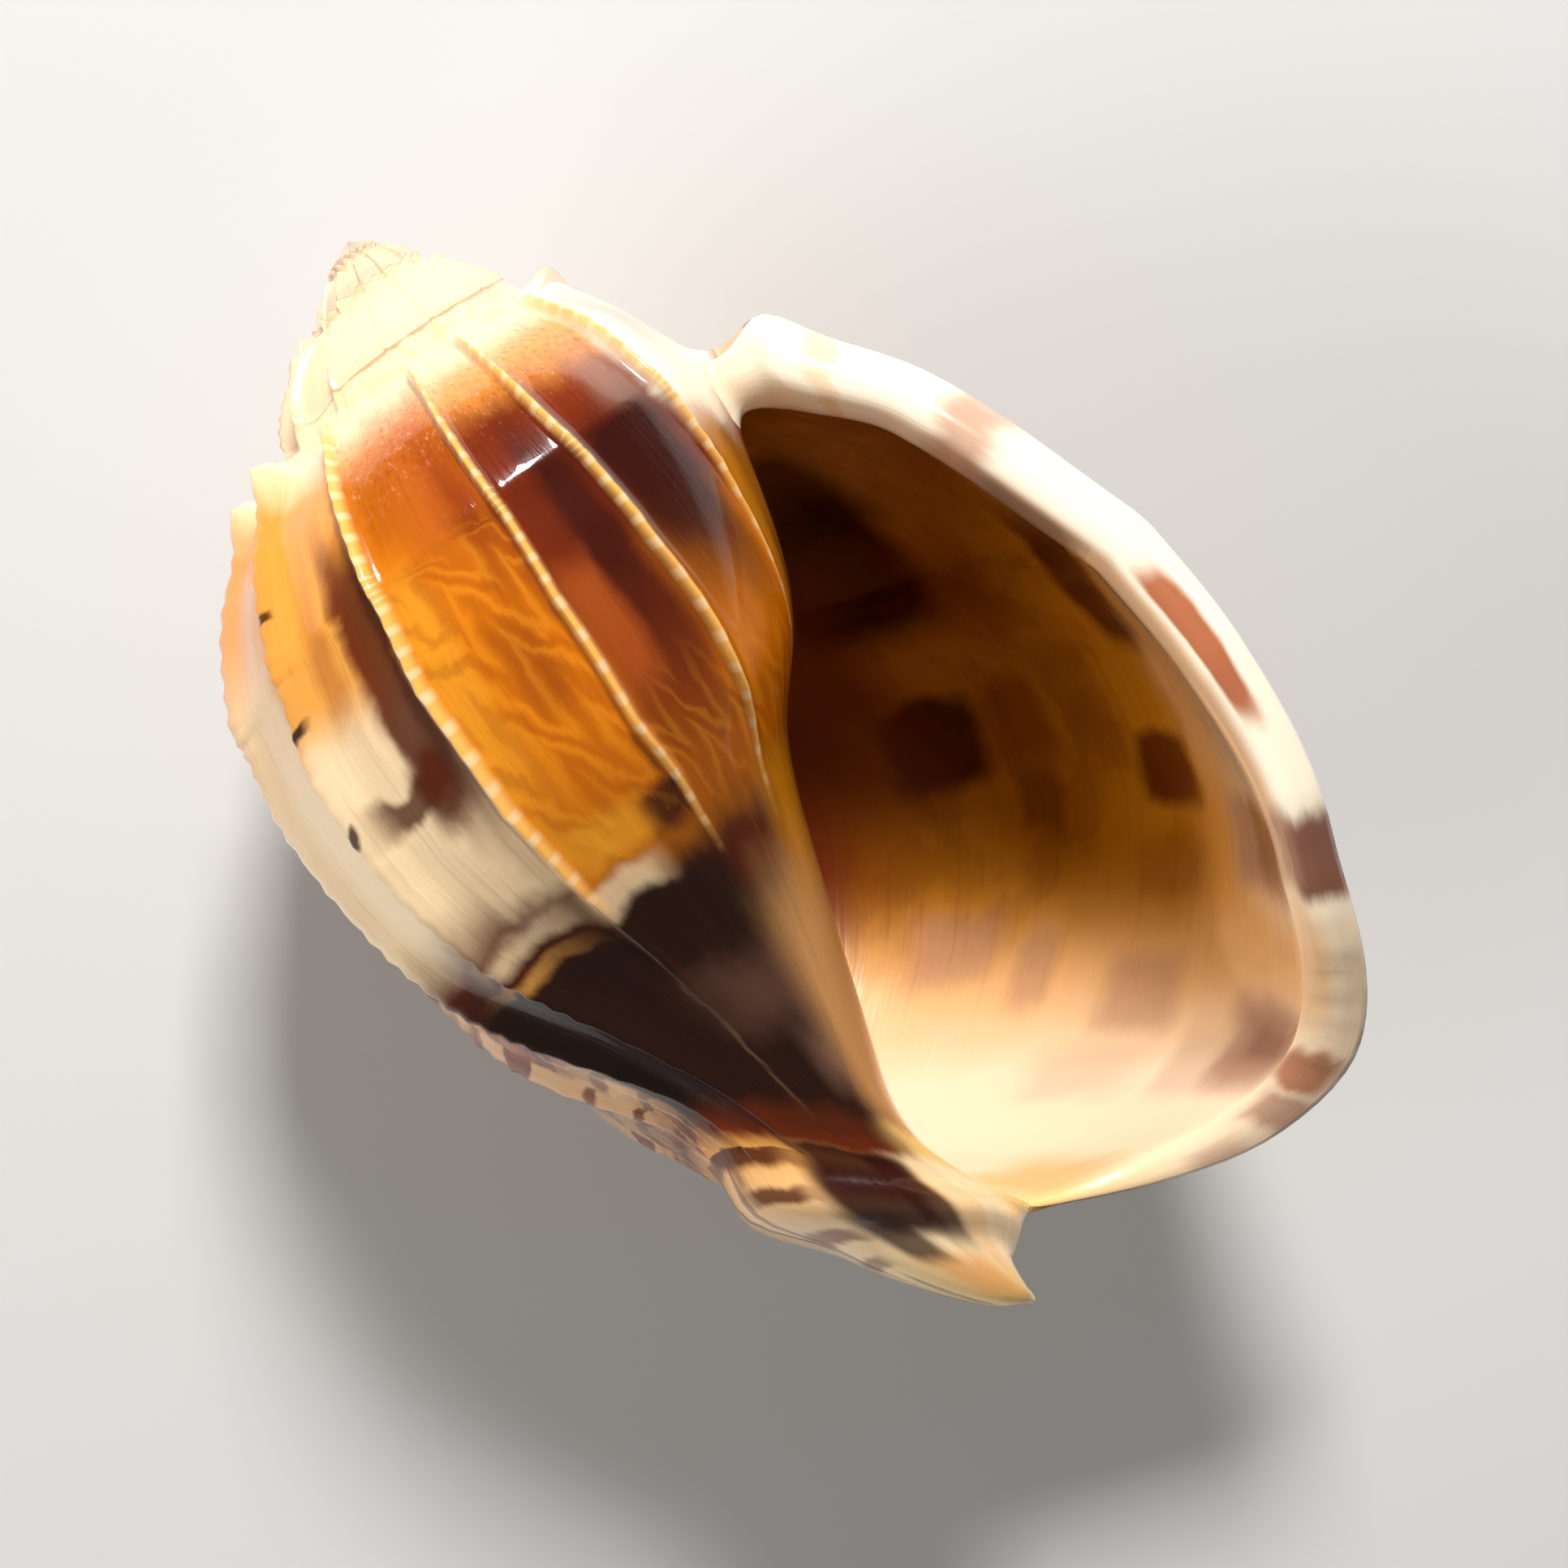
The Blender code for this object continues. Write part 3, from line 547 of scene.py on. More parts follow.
# %% Room for ribs and glaze
RIB_FADE_RADIUS, RIB_FADE_POWER = 9.0, 1.5
GLAZE_START, GLAZE_END = (-13.6, -12.8), (-8.4, -9.4)
FILL_HEIGHT, FILL_BELOW, FILL_ABOVE = 0.5, 0.9, 0.7
LEDGE_HEIGHT, LEDGE_WAVES, LEDGE_KNOTS = 0.30, 9.0, (0.7, 0.2)
LEDGE_START, LEDGE_END = (-3.3, -2.8), (-1.35, -1.45)
RAMP_LOSS, RAMP_KNOTS = 0.9, (2.0, 1.3)
SPIRE_LOSS, SPIRE_TURNS = 0.85, (-1.0, -1.1)
BASE_LOSS, BASE_KNOTS, FRONT_BASE_KNOTS = 0.8, (8.5, 11.5), (7.8, 9.0)
FRONT_RIB_LOSS, FRONT_SPINE_LOSS, WORN_SPINE_RIBS = 0.35, 0.85, (-12.9, -12.6)
CALLUS_TURNS, CALLUS_KNOTS = (-0.66, -0.76), (6.8, 8.3)
PARIETAL_TURNS, PARIETAL_KNOTS = (-0.91, -0.97), (3.5, 5.0)
HIDDEN_TURNS = (-1.0, -1.12)
SPINE_WIDTH, LIP_SPINE, LIP_SPINE_WIDTH = 0.35, 1.0, 0.32


def glazed(rib):
    """1 on the front of the shell, where a thick glaze covers the spire, and 0 on its back."""
    return rise(rib, *GLAZE_START) * rise(rib, *GLAZE_END)


def suture_fill(rib, knot, turn):
    """How far the glaze stands out where it fills the suture, and the thin ledge at the suture before that."""
    below = glazed(rib) * hump(knot, 0.0, FILL_BELOW)
    above = glazed(rib + RIBS) * hump(knot, SEAM, FILL_ABOVE) * (knot <= SEAM)
    ledge = rise(turn, *LEDGE_START) * rise(turn, *LEDGE_END) * rise(knot, *LEDGE_KNOTS)
    ledge = ledge * (1.0 + 0.5 * np.sin(rib * LEDGE_WAVES))
    return FILL_HEIGHT * np.maximum(below, above) + LEDGE_HEIGHT * ledge


def room_for_ribs(rib, turn, knot, radius):
    """How much of their height, from 0 to 1, the ribs, the shoulder spines and the thick last rib have."""
    front = glazed(rib)
    size = np.minimum(radius / RIB_FADE_RADIUS, 1.0) ** RIB_FADE_POWER
    size = size * (1.0 - RAMP_LOSS * front * rise(knot, *RAMP_KNOTS)) * (1.0 - FRONT_RIB_LOSS * front)
    size = size * (1.0 - SPIRE_LOSS * glazed(rib + RIBS) * rise(turn, *SPIRE_TURNS))
    along = rise(knot, 0.0, SHOULDER) * (1.0 - BASE_LOSS * rise(knot, *BASE_KNOTS))
    along = along * (1.0 - front * rise(knot, *FRONT_BASE_KNOTS))
    callus = rise(turn, *CALLUS_TURNS) * rise(knot, *CALLUS_KNOTS)
    parietal = rise(turn, *PARIETAL_TURNS) * rise(knot, *PARIETAL_KNOTS)
    in_view = 1.0 - rise(turn, *HIDDEN_TURNS) * (knot > SEAM)
    worn = 1.0 - FRONT_SPINE_LOSS * front * rise(rib, *WORN_SPINE_RIBS)
    spine = size * hump(knot, SHOULDER, SPINE_WIDTH) * in_view * worn
    lip = size * (along + LIP_SPINE * hump(knot, SHOULDER, LIP_SPINE_WIDTH))
    return size * along * (1.0 - callus) * (1.0 - parietal) * in_view, spine, lip


# %% Named attributes
FIRST_RIB_TURNS, LAST_RIB_TURNS, LIP_PART = (0.0, -0.025), 0.014, -0.2
STRAP_TURNS = (-0.70, -0.62)
CORNER_TURNS = 0.022
CORNERS = ((-1.0, 4.3, 1.3), (0.0, 0.0, 0.9), (0.0, NECK, 0.8), (-1.0, NECK, 0.5))

points, outward = np.concatenate(skin.points), np.concatenate(skin.outward)
ribs, knots, ribbed = (np.concatenate(values) for values in (skin.ribs, skin.knots, skin.ribbed))
turn, radius = points[:, 0], points[:, 2]
rib_room, spine_room, lip_room = room_for_ribs(ribs, turn, knots, radius)
rising = rise(turn, *FIRST_RIB_TURNS)
last_rib = hump(np.minimum(turn, 0.0), 0.0, LAST_RIB_TURNS) * (turn > LIP_PART)
on_rim = np.where(ribbed > 0.5, 1.0, np.linalg.norm(outward, axis=1))
at_seam = (turn - 1.0 >= APEX_TURN) * rise(knots, 1.0, 0.0) * ribbed
before_room = room_for_ribs(ribs - RIBS, turn - 1.0, np.full(len(points), float(SEAM)), radius)[0] * at_seam
soften = [hump(turn, corner, CORNER_TURNS) * hump(knots, knot, width) for corner, knot, width in CORNERS]
ATTRIBUTES = {
    "rib": ribs,
    "knot": knots,
    "lean": np.interp(knots, np.arange(NECK + 1), GROWTH_LINE_LEAN),
    "rib_room": np.maximum(rib_room * ribbed * rising, before_room),
    "spine_room": spine_room * ribbed * rising,
    "lip_room": lip_room * last_rib * on_rim,
    "strap": rise(turn, *STRAP_TURNS),
    "fill": suture_fill(ribs, knots, turn) * ribbed,
    "soften": np.maximum.reduce(soften),
}
unrolled = bpy.data.meshes.new("harp_shell_body")
unrolled.from_pydata(points.tolist(), [], skin.faces)
for name, values in ATTRIBUTES.items():
    unrolled.attributes.new(name, "FLOAT", "POINT").data.foreach_set("value", values.astype(np.float32))
flat = np.zeros((len(points), 3), np.float32)
flat[:, 1:] = outward
unrolled.attributes.new("outward", "FLOAT_VECTOR", "POINT").data.foreach_set("vector", flat.ravel())
unrolled.attributes.new("side", "INT", "FACE").data.foreach_set("value", np.array(skin.sides, np.int32))
growth = unrolled.uv_layers.new(name="growth")
growth.data.foreach_set("uv", np.array(skin.uvs, np.float32).ravel())
shell = bpy.data.objects.new("harp_shell_body", unrolled)
bpy.context.scene.collection.objects.link(shell)
print("attributes:", ", ".join(ATTRIBUTES))

# %% [markdown]
# ## Winding it up with Geometry Nodes
# A tree of math nodes does to every point what growth did: it raises the ribs, turns the point round the coiling
# axis by its azimuth, lays the shell on its back, and wears the lowest places off level with the ground. Its
# sizes are named inputs, so ribs and spines can be tried out without touching the mesh.

# %% A small helper for node trees
class Nodes:
    """Adds nodes to a tree, so that sums read like sums."""

    def __init__(self, tree):
        self.tree = tree

    def add(self, kind, sockets=None, **settings):
        """Adds a node with its settings, and feeds its sockets, given by name or number."""
        node = self.tree.nodes.new(kind)
        for name, value in settings.items():
            setattr(node, name, value)
        for key, value in (sockets or {}).items():
            self.feed(node.inputs[key], value)
        return node

    def feed(self, socket, value):
        if isinstance(value, bpy.types.NodeSocket):
            self.tree.links.new(value, socket)
        else:
            socket.default_value = value

    def math(self, operation, *values, clamp=False):
        sockets = dict(enumerate(values))
        return self.add("ShaderNodeMath", sockets, operation=operation, use_clamp=clamp).outputs[0]

    def chain(self, operation, total, *values):
        for value in values:
            total = self.math(operation, total, value)
        return total

    def plus(self, *values):
        return self.chain("ADD", *values)

    def times(self, *values):
        return self.chain("MULTIPLY", *values)

    def minus(self, a, b):
        return self.math("SUBTRACT", a, b)

    def over(self, a, b):
        return self.math("DIVIDE", a, b)

    def from_whole(self, x):
        """How far x is past the nearest whole number, negative before it."""
        return self.minus(x, self.math("ROUND", x))

    def bell(self, x):
        """1 where x is 0, falling to nothing by about 2 either way."""
        return self.math("EXPONENT", self.times(x, x, -1.0))

    def vector(self, x, y, z=0.0):
        return self.add("ShaderNodeCombineXYZ", {0: x, 1: y, 2: z}).outputs[0]

    def split(self, vector):
        return self.add("ShaderNodeSeparateXYZ", {0: vector}).outputs


# %% The winding tree
REST_PITCH = -7.0
REST_SPOT = (5.2, -36.1, -26.1)
BEADS_PER_KNOT, BEAD_SHARPNESS = 4.0, 3.2
LINES_PER_RIB, LINES_PER_KNOT = 6.0, 0.3
WINDING_INPUTS = {
    "Rib Height": 1.2,
    "Spine Height": 1.4,
    "Lip Rib Height": 1.1,
    "Cord Width": 0.06,
    "Strap Width": 0.20,
    "Drop Width": 0.032,
    "Bead Height": 0.2,
    "Growth Line Height": 0.05,
    "Lip Azimuth": LIP_AZIMUTH,
    "Tip Offset": TIP_OFFSET,
    "Corner Rounding": 30,
}


def build_winding_tree():
    tree = bpy.data.node_groups.new("wind_up_shell", "GeometryNodeTree")
    for way in ("INPUT", "OUTPUT"):
        tree.interface.new_socket("Geometry", in_out=way, socket_type="NodeSocketGeometry")
    for name, value in WINDING_INPUTS.items():
        kind = "NodeSocketInt" if isinstance(value, int) else "NodeSocketFloat"
        tree.interface.new_socket(name, in_out="INPUT", socket_type=kind).default_value = value
    for name in SIDES:
        tree.interface.new_socket(name, in_out="INPUT", socket_type="NodeSocketMaterial")
    n = Nodes(tree)
    given = n.add("NodeGroupInput").outputs

    def at(name, kind="FLOAT"):
        return n.add("GeometryNodeInputNamedAttribute", {"Name": name}, data_type=kind).outputs["Attribute"]

    def position():
        return n.add("GeometryNodeInputPosition").outputs[0]

    def move(geometry, place):
        return n.add("GeometryNodeSetPosition", {"Geometry": geometry, "Position": place}).outputs[0]

    # The height of ribs, cords, beads and growth lines.
    turn, along, radius = n.split(position())
    rib, knot = at("rib"), at("knot")
    phase = n.from_whole(rib)
    wider = n.minus(given["Strap Width"], given["Cord Width"])
    width = n.plus(given["Cord Width"], n.times(at("strap"), wider))
    ridge = n.bell(n.math("MAXIMUM", n.over(phase, given["Drop Width"]), n.over(n.times(phase, -1.0), width)))
    bead = n.bell(n.times(n.from_whole(n.times(knot, BEADS_PER_KNOT)), BEAD_SHARPNESS))
    height = n.plus(given["Rib Height"], n.times(bead, given["Bead Height"]))
    rib_rise = n.times(ridge, at("rib_room"), height)
    spine_rise = n.times(ridge, at("spine_room"), given["Spine Height"])
    lip_rise = n.times(at("lip_room"), given["Lip Rib Height"])
    where = n.vector(n.times(rib, LINES_PER_RIB), n.times(knot, LINES_PER_KNOT))
    lines = n.add("ShaderNodeTexNoise", {"Vector": where, "Scale": 1.0}, noise_dimensions="2D").outputs[0]
    fine = n.times(n.minus(lines, 0.5), given["Growth Line Height"], at("rib_room"))
    lift = n.plus(n.math("MAXIMUM", n.plus(rib_rise, spine_rise), lip_rise), fine, at("fill"))

    # Every point turned round the coiling axis, which bends at the tip.
    outward = n.split(at("outward", "FLOAT_VECTOR"))
    along = n.plus(along, n.times(lift, outward[1]))
    radius = n.plus(radius, n.times(lift, outward[2]))
    azimuth = n.math("RADIANS", n.plus(given["Lip Azimuth"], n.times(turn, 360.0), at("lean")))
    past = n.math("MAXIMUM", n.over(n.minus(along, TIP_BEND_START), SHELL_LENGTH - TIP_BEND_START), 0.0)
    offset = n.times(given["Tip Offset"], n.math("POWER", past, TIP_BEND_POWER))
    x = n.plus(offset, n.times(radius, n.math("COSINE", azimuth)))
    z = n.times(radius, n.math("SINE", azimuth))
    geometry = move(given["Geometry"], n.vector(x, n.times(along, -1.0), z))

    # Corners beside the mouth rounded off.
    sockets = {"Iterations": given["Corner Rounding"], "Weight": at("soften")}
    blur = n.add("GeometryNodeBlurAttribute", sockets, data_type="FLOAT_VECTOR")
    n.feed([socket for socket in blur.inputs if socket.enabled and socket.name == "Value"][0], position())
    geometry = move(geometry, [socket for socket in blur.outputs if socket.enabled][0])

    # Laid on its back at its real size, and worn level with the ground.
    pitch = (math.radians(REST_PITCH), 0.0, 0.0)
    lay = n.add("GeometryNodeTransform", {
        "Geometry": geometry,
        "Rotation": pitch,
        "Translation": Euler(pitch).to_matrix() @ Vector(REST_SPOT) * -MM,
        "Scale": (MM, MM, MM),
    })
    x, y, z = n.split(position())
    geometry = move(lay.outputs[0], n.vector(x, y, n.math("MAXIMUM", z, 0.0)))

    geometry = n.add("GeometryNodeRealizeInstances", {0: geometry}).outputs[0]
    side = at("side", "INT")
    for number, name in enumerate(SIDES):
        chosen = n.add("FunctionNodeCompare", {"A": side, "B": number}, data_type="INT", operation="EQUAL")
        sockets = {"Geometry": geometry, "Selection": chosen.outputs[0], "Material": given[name]}
        geometry = n.add("GeometryNodeSetMaterial", sockets).outputs[0]
    n.add("NodeGroupOutput", {0: geometry})
    return tree


winding = build_winding_tree()
print("winding tree:", len(winding.nodes), "nodes")

# %% [markdown]
# ## Finishes
# The wall is clear, hard glaze over coloured layers, so each finish is a glossy surface with a clear coat, and its
# colours are painted in the shell's own terms: the rib number and the knot, which every face corner kept as a UV
# map. That way a colour follows the growth of the shell, as it does on the real one. There are three finishes: the
# glazed outside, the lining of the mouth and the porcelain lip.

# %% Colours by name
def paint(red, green, blue):
    """A colour as a screen shows it, from 0 to 255, turned into amounts of light."""
    return tuple(((c / 255.0 + 0.055) / 1.055) ** 2.4 for c in (red, green, blue)) + (1.0,)


COLOURS = {
    "cream": paint(250, 218, 172),
    "white glaze": paint(250, 234, 208),
    "pink cream": paint(246, 216, 180),
    "yellow cream": paint(252, 208, 124),
    "peach": paint(240, 184, 124),
    "shoulder orange": paint(232, 146, 60),
    "golden": paint(208, 112, 4),
    "light golden": paint(236, 156, 36),
    "cord": paint(252, 186, 92),
    "chestnut": paint(122, 40, 4),
    "rosy chestnut": paint(170, 78, 24),
    "maroon": paint(48, 8, 2),
    "grey glaze": paint(150, 104, 84),
    # This brown serves for stripes, and also for the painted shadow along the ribs' steep drops.
    "stripe and shadow brown": paint(84, 30, 4),
    "tan": paint(226, 158, 78),
    "horn": paint(190, 136, 82),
    "olive gold": paint(192, 122, 18),
    # This near black is the base's dark brown with painted shade in it, and also marks small painted shadow dots.
    "base and shadow black": paint(34, 13, 3),
    "red brown": paint(112, 40, 6),
    "mauve": paint(176, 128, 104),
    "lip brown": paint(168, 88, 44),
    "fawn": paint(214, 166, 116),
}
print(len(COLOURS), "colours")

# %% Helpers for shader trees
class Finish(Nodes):
    """Adds shader nodes to a tree."""

    def mix(self, under, over, share):
        sockets = {"Factor": share, "A": under, "B": over}
        return self.add("ShaderNodeMix", sockets, data_type="RGBA").outputs["Result"]

    def tint(self, colour, name, *masks):
        """Mixes in a named colour, as strongly as its masks and its strength multiply to."""
        return self.mix(colour, COLOURS[name], self.times(*masks))

    def rise(self, x, start, end):
        """A smooth rise from 0 at start to 1 at end."""
        sockets = {0: x, 1: start, 2: end}
        return self.add("ShaderNodeMapRange", sockets, interpolation_type="SMOOTHSTEP").outputs[0]

    def between(self, x, start, end, soft):
        return self.times(self.rise(x, start - soft, start + soft), self.rise(x, end + soft, end - soft))

    def zone(self, x, x_range, y, y_range):
        return self.times(self.between(x, *x_range), self.between(y, *y_range))

    def wave(self, x, count):
        """A sine with so many waves for every 1 of x."""
        return self.math("SINE", self.times(x, 2.0 * math.pi * count))

    def vector_math(self, operation, a, b):
        return self.add("ShaderNodeVectorMath", {0: a, 1: b}, operation=operation).outputs[0]

    def noise(self, place, scale, detail=3.0, roughness=0.55, output="Fac"):
        sockets = {"Vector": place, "Scale": scale, "Detail": detail, "Roughness": roughness}
        return self.add("ShaderNodeTexNoise", sockets, noise_dimensions="3D").outputs[output]

    def ramp(self, x, stops):
        """Colours along x; every stop is a place and the name of a colour."""
        lowest, highest = stops[0][0], stops[-1][0]
        node = self.add("ShaderNodeValToRGB", {0: self.over(self.minus(x, lowest), highest - lowest)})
        elements = node.color_ramp.elements
        for i, (place, name) in enumerate(stops):
            share = (place - lowest) / (highest - lowest)
            element = elements[i] if i < 2 else elements.new(share)
            element.position = share
            element.color = COLOURS[name]
        return node.outputs["Color"]

    def group(self, tree, **values):
        return self.add("ShaderNodeGroup", values, node_tree=tree).outputs


def new_group(name, inputs, outputs):
    """A shader node group with named sockets, and a helper to fill it."""
    tree = bpy.data.node_groups.new(name, "ShaderNodeTree")
    for way, sockets in (("INPUT", inputs), ("OUTPUT", outputs)):
        for socket, kind in sockets.items():
            tree.interface.new_socket(socket, in_out=way, socket_type="NodeSocket" + kind)
    n = Finish(tree)
    return tree, n, n.add("NodeGroupInput").outputs, n.add("NodeGroupOutput").inputs

# %% [markdown]
# The shell's colours have soft, ragged edges, because the animal's mantle laid them down in thin layers. A group
# gives every finish the same three things: the place on the shell, the same place with ragged edges, and fine
# growth lines, which run across the direction of growth.

# %% Group: place on the shell
RAGGED_SCALE, RAGGED_DETAIL, RAGGED_ROUGHNESS = 1.3, 5.0, 0.5
CALM_LOSS, CALM_KNOTS = 0.85, (11.6, 12.1)
HALF = (0.5, 0.5, 0.5)
PLACE, n, given, result = new_group(
    "place_on_shell", {"Raggedness": "Float"},
    {"Rib": "Float", "Knot": "Float", "Ragged Place": "Vector", "Lines": "Float", "Cloud": "Float"},
)
even = n.add("ShaderNodeUVMap", uv_map="growth").outputs[0]
rib, knot = n.split(even)[0:2]
where = n.vector(n.times(rib, 2.2), n.times(knot, 1.1))
coarse = n.noise(where, RAGGED_SCALE, RAGGED_DETAIL, RAGGED_ROUGHNESS, "Color")
amount = n.times(given["Raggedness"], n.minus(1.0, n.times(n.rise(knot, *CALM_KNOTS), CALM_LOSS)))
shift = n.vector_math("MULTIPLY", n.vector_math("SUBTRACT", coarse, HALF), n.vector(n.times(amount, 0.5), amount))
n.feed(result["Rib"], rib)
n.feed(result["Knot"], knot)
n.feed(result["Ragged Place"], n.vector_math("ADD", even, shift))
n.feed(result["Lines"], n.noise(n.vector(n.times(rib, 26.0), n.times(knot, 0.7), 3.0), 1.0, 4.0))
n.feed(result["Cloud"], n.noise(n.vector(n.times(rib, 2.0), knot, 7.0), 1.4, 4.0))

# %% Group: one blotch
SQUARENESS = 5.0
BLOTCH, n, given, result = new_group(
    "blotch", {"Place": "Vector", "Centre": "Vector", "Size": "Vector", "Softness": "Float"}, {"Mask": "Float"}
)
away = n.vector_math("SUBTRACT", given["Place"], given["Centre"])
sides = n.split(n.vector_math("DIVIDE", away, given["Size"]))
powers = [n.math("POWER", n.math("ABSOLUTE", sides[i]), SQUARENESS) for i in (0, 1)]
far = n.math("POWER", n.plus(*powers), 1.0 / SQUARENESS)
n.feed(result["Mask"], n.rise(far, n.plus(1.0, given["Softness"]), n.minus(1.0, given["Softness"])))
print("groups:", PLACE.name, BLOTCH.name)

# %% Laying blotches over a colour, and starting a finish
COAT = {"Coat Weight": 1.0, "Coat Roughness": 0.03, "Specular IOR Level": 0.2}
CLOUD_ROUGHNESS = 0.16


def lay(n, colour, place, blotches):
    """Lays blotches over a colour: (rib, knot, half width, half height, colour, strength, softness)."""
    for rib, knot, wide, high, name, strength, softness in blotches:
        mask = n.group(BLOTCH, Place=place, Centre=(rib, knot, 0.0), Size=(wide, high, 1.0), Softness=softness)[0]
        colour = n.tint(colour, name, mask, strength)
    return colour


def glaze(name, roughness, bump, raggedness):
    """Starts a finish: a glossy surface with a clear coat and fine growth lines."""
    material = bpy.data.materials.new(name)
    material.use_nodes = True
    n = Finish(material.node_tree)
    shader = material.node_tree.nodes["Principled BSDF"]
    place = n.group(PLACE, Raggedness=raggedness)
    relief = n.add("ShaderNodeBump", {"Strength": 1.0, "Distance": bump * MM, "Height": place["Lines"]})
    rough = n.plus(roughness, n.times(place["Cloud"], CLOUD_ROUGHNESS))
    for socket, value in {**COAT, "Normal": relief.outputs[0], "Roughness": rough}.items():
        n.feed(shader.inputs[socket], value)
    return material, n, shader, place


# %% [markdown]
# ### The glazed outside
# The front, above the mouth, lies under thick glaze: a cream ramp at the shoulder, chestnut and maroon between
# the ribs, golden orange further down and a nearly black base, which is partly the shell's own dark brown and
# partly painted shade where little light reaches. To the left of it come broad straps of tan and cream. Round the
# back, which the photo doesn't show, the usual pattern of the kind is used: fawn ribs with brown bars, and brown
# garlands between them.

# %% Colours of the outside
# Towards the base these ramps turn nearly black: partly the shell's dark brown, partly painted shade.
LOW_STOPS = (
    (11.0, "base and shadow black"), (11.6, "red brown"), (12.0, "tan"), (12.5, "cream"), (13.0, "yellow cream"),
)
FRONT_RAMP = (
    (0.0, "cream"), (2.0, "cream"), (2.7, "shoulder orange"), (3.4, "chestnut"), (5.6, "chestnut"),
    (6.3, "golden"), (7.6, "golden"), (8.3, "base and shadow black"), *LOW_STOPS,
)
STRAP_RAMP = (
    (0.0, "cream"), (1.9, "cream"), (2.6, "shoulder orange"), (5.4, "tan"), (6.1, "cream"), (7.3, "cream"),
    (8.0, "stripe and shadow brown"), (8.6, "base and shadow black"), *LOW_STOPS,
)
BACK_RAMP = (
    (0.0, "pink cream"), (1.6, "cream"), (2.5, "tan"), (3.4, "chestnut"), (4.2, "fawn"), (4.8, "tan"),
    (5.4, "chestnut"), (6.3, "fawn"), (7.3, "tan"), (8.2, "chestnut"), (9.4, "fawn"), (10.6, "red brown"),
    (11.25, "tan"), (11.75, "cream"), (12.25, "yellow cream"),
)
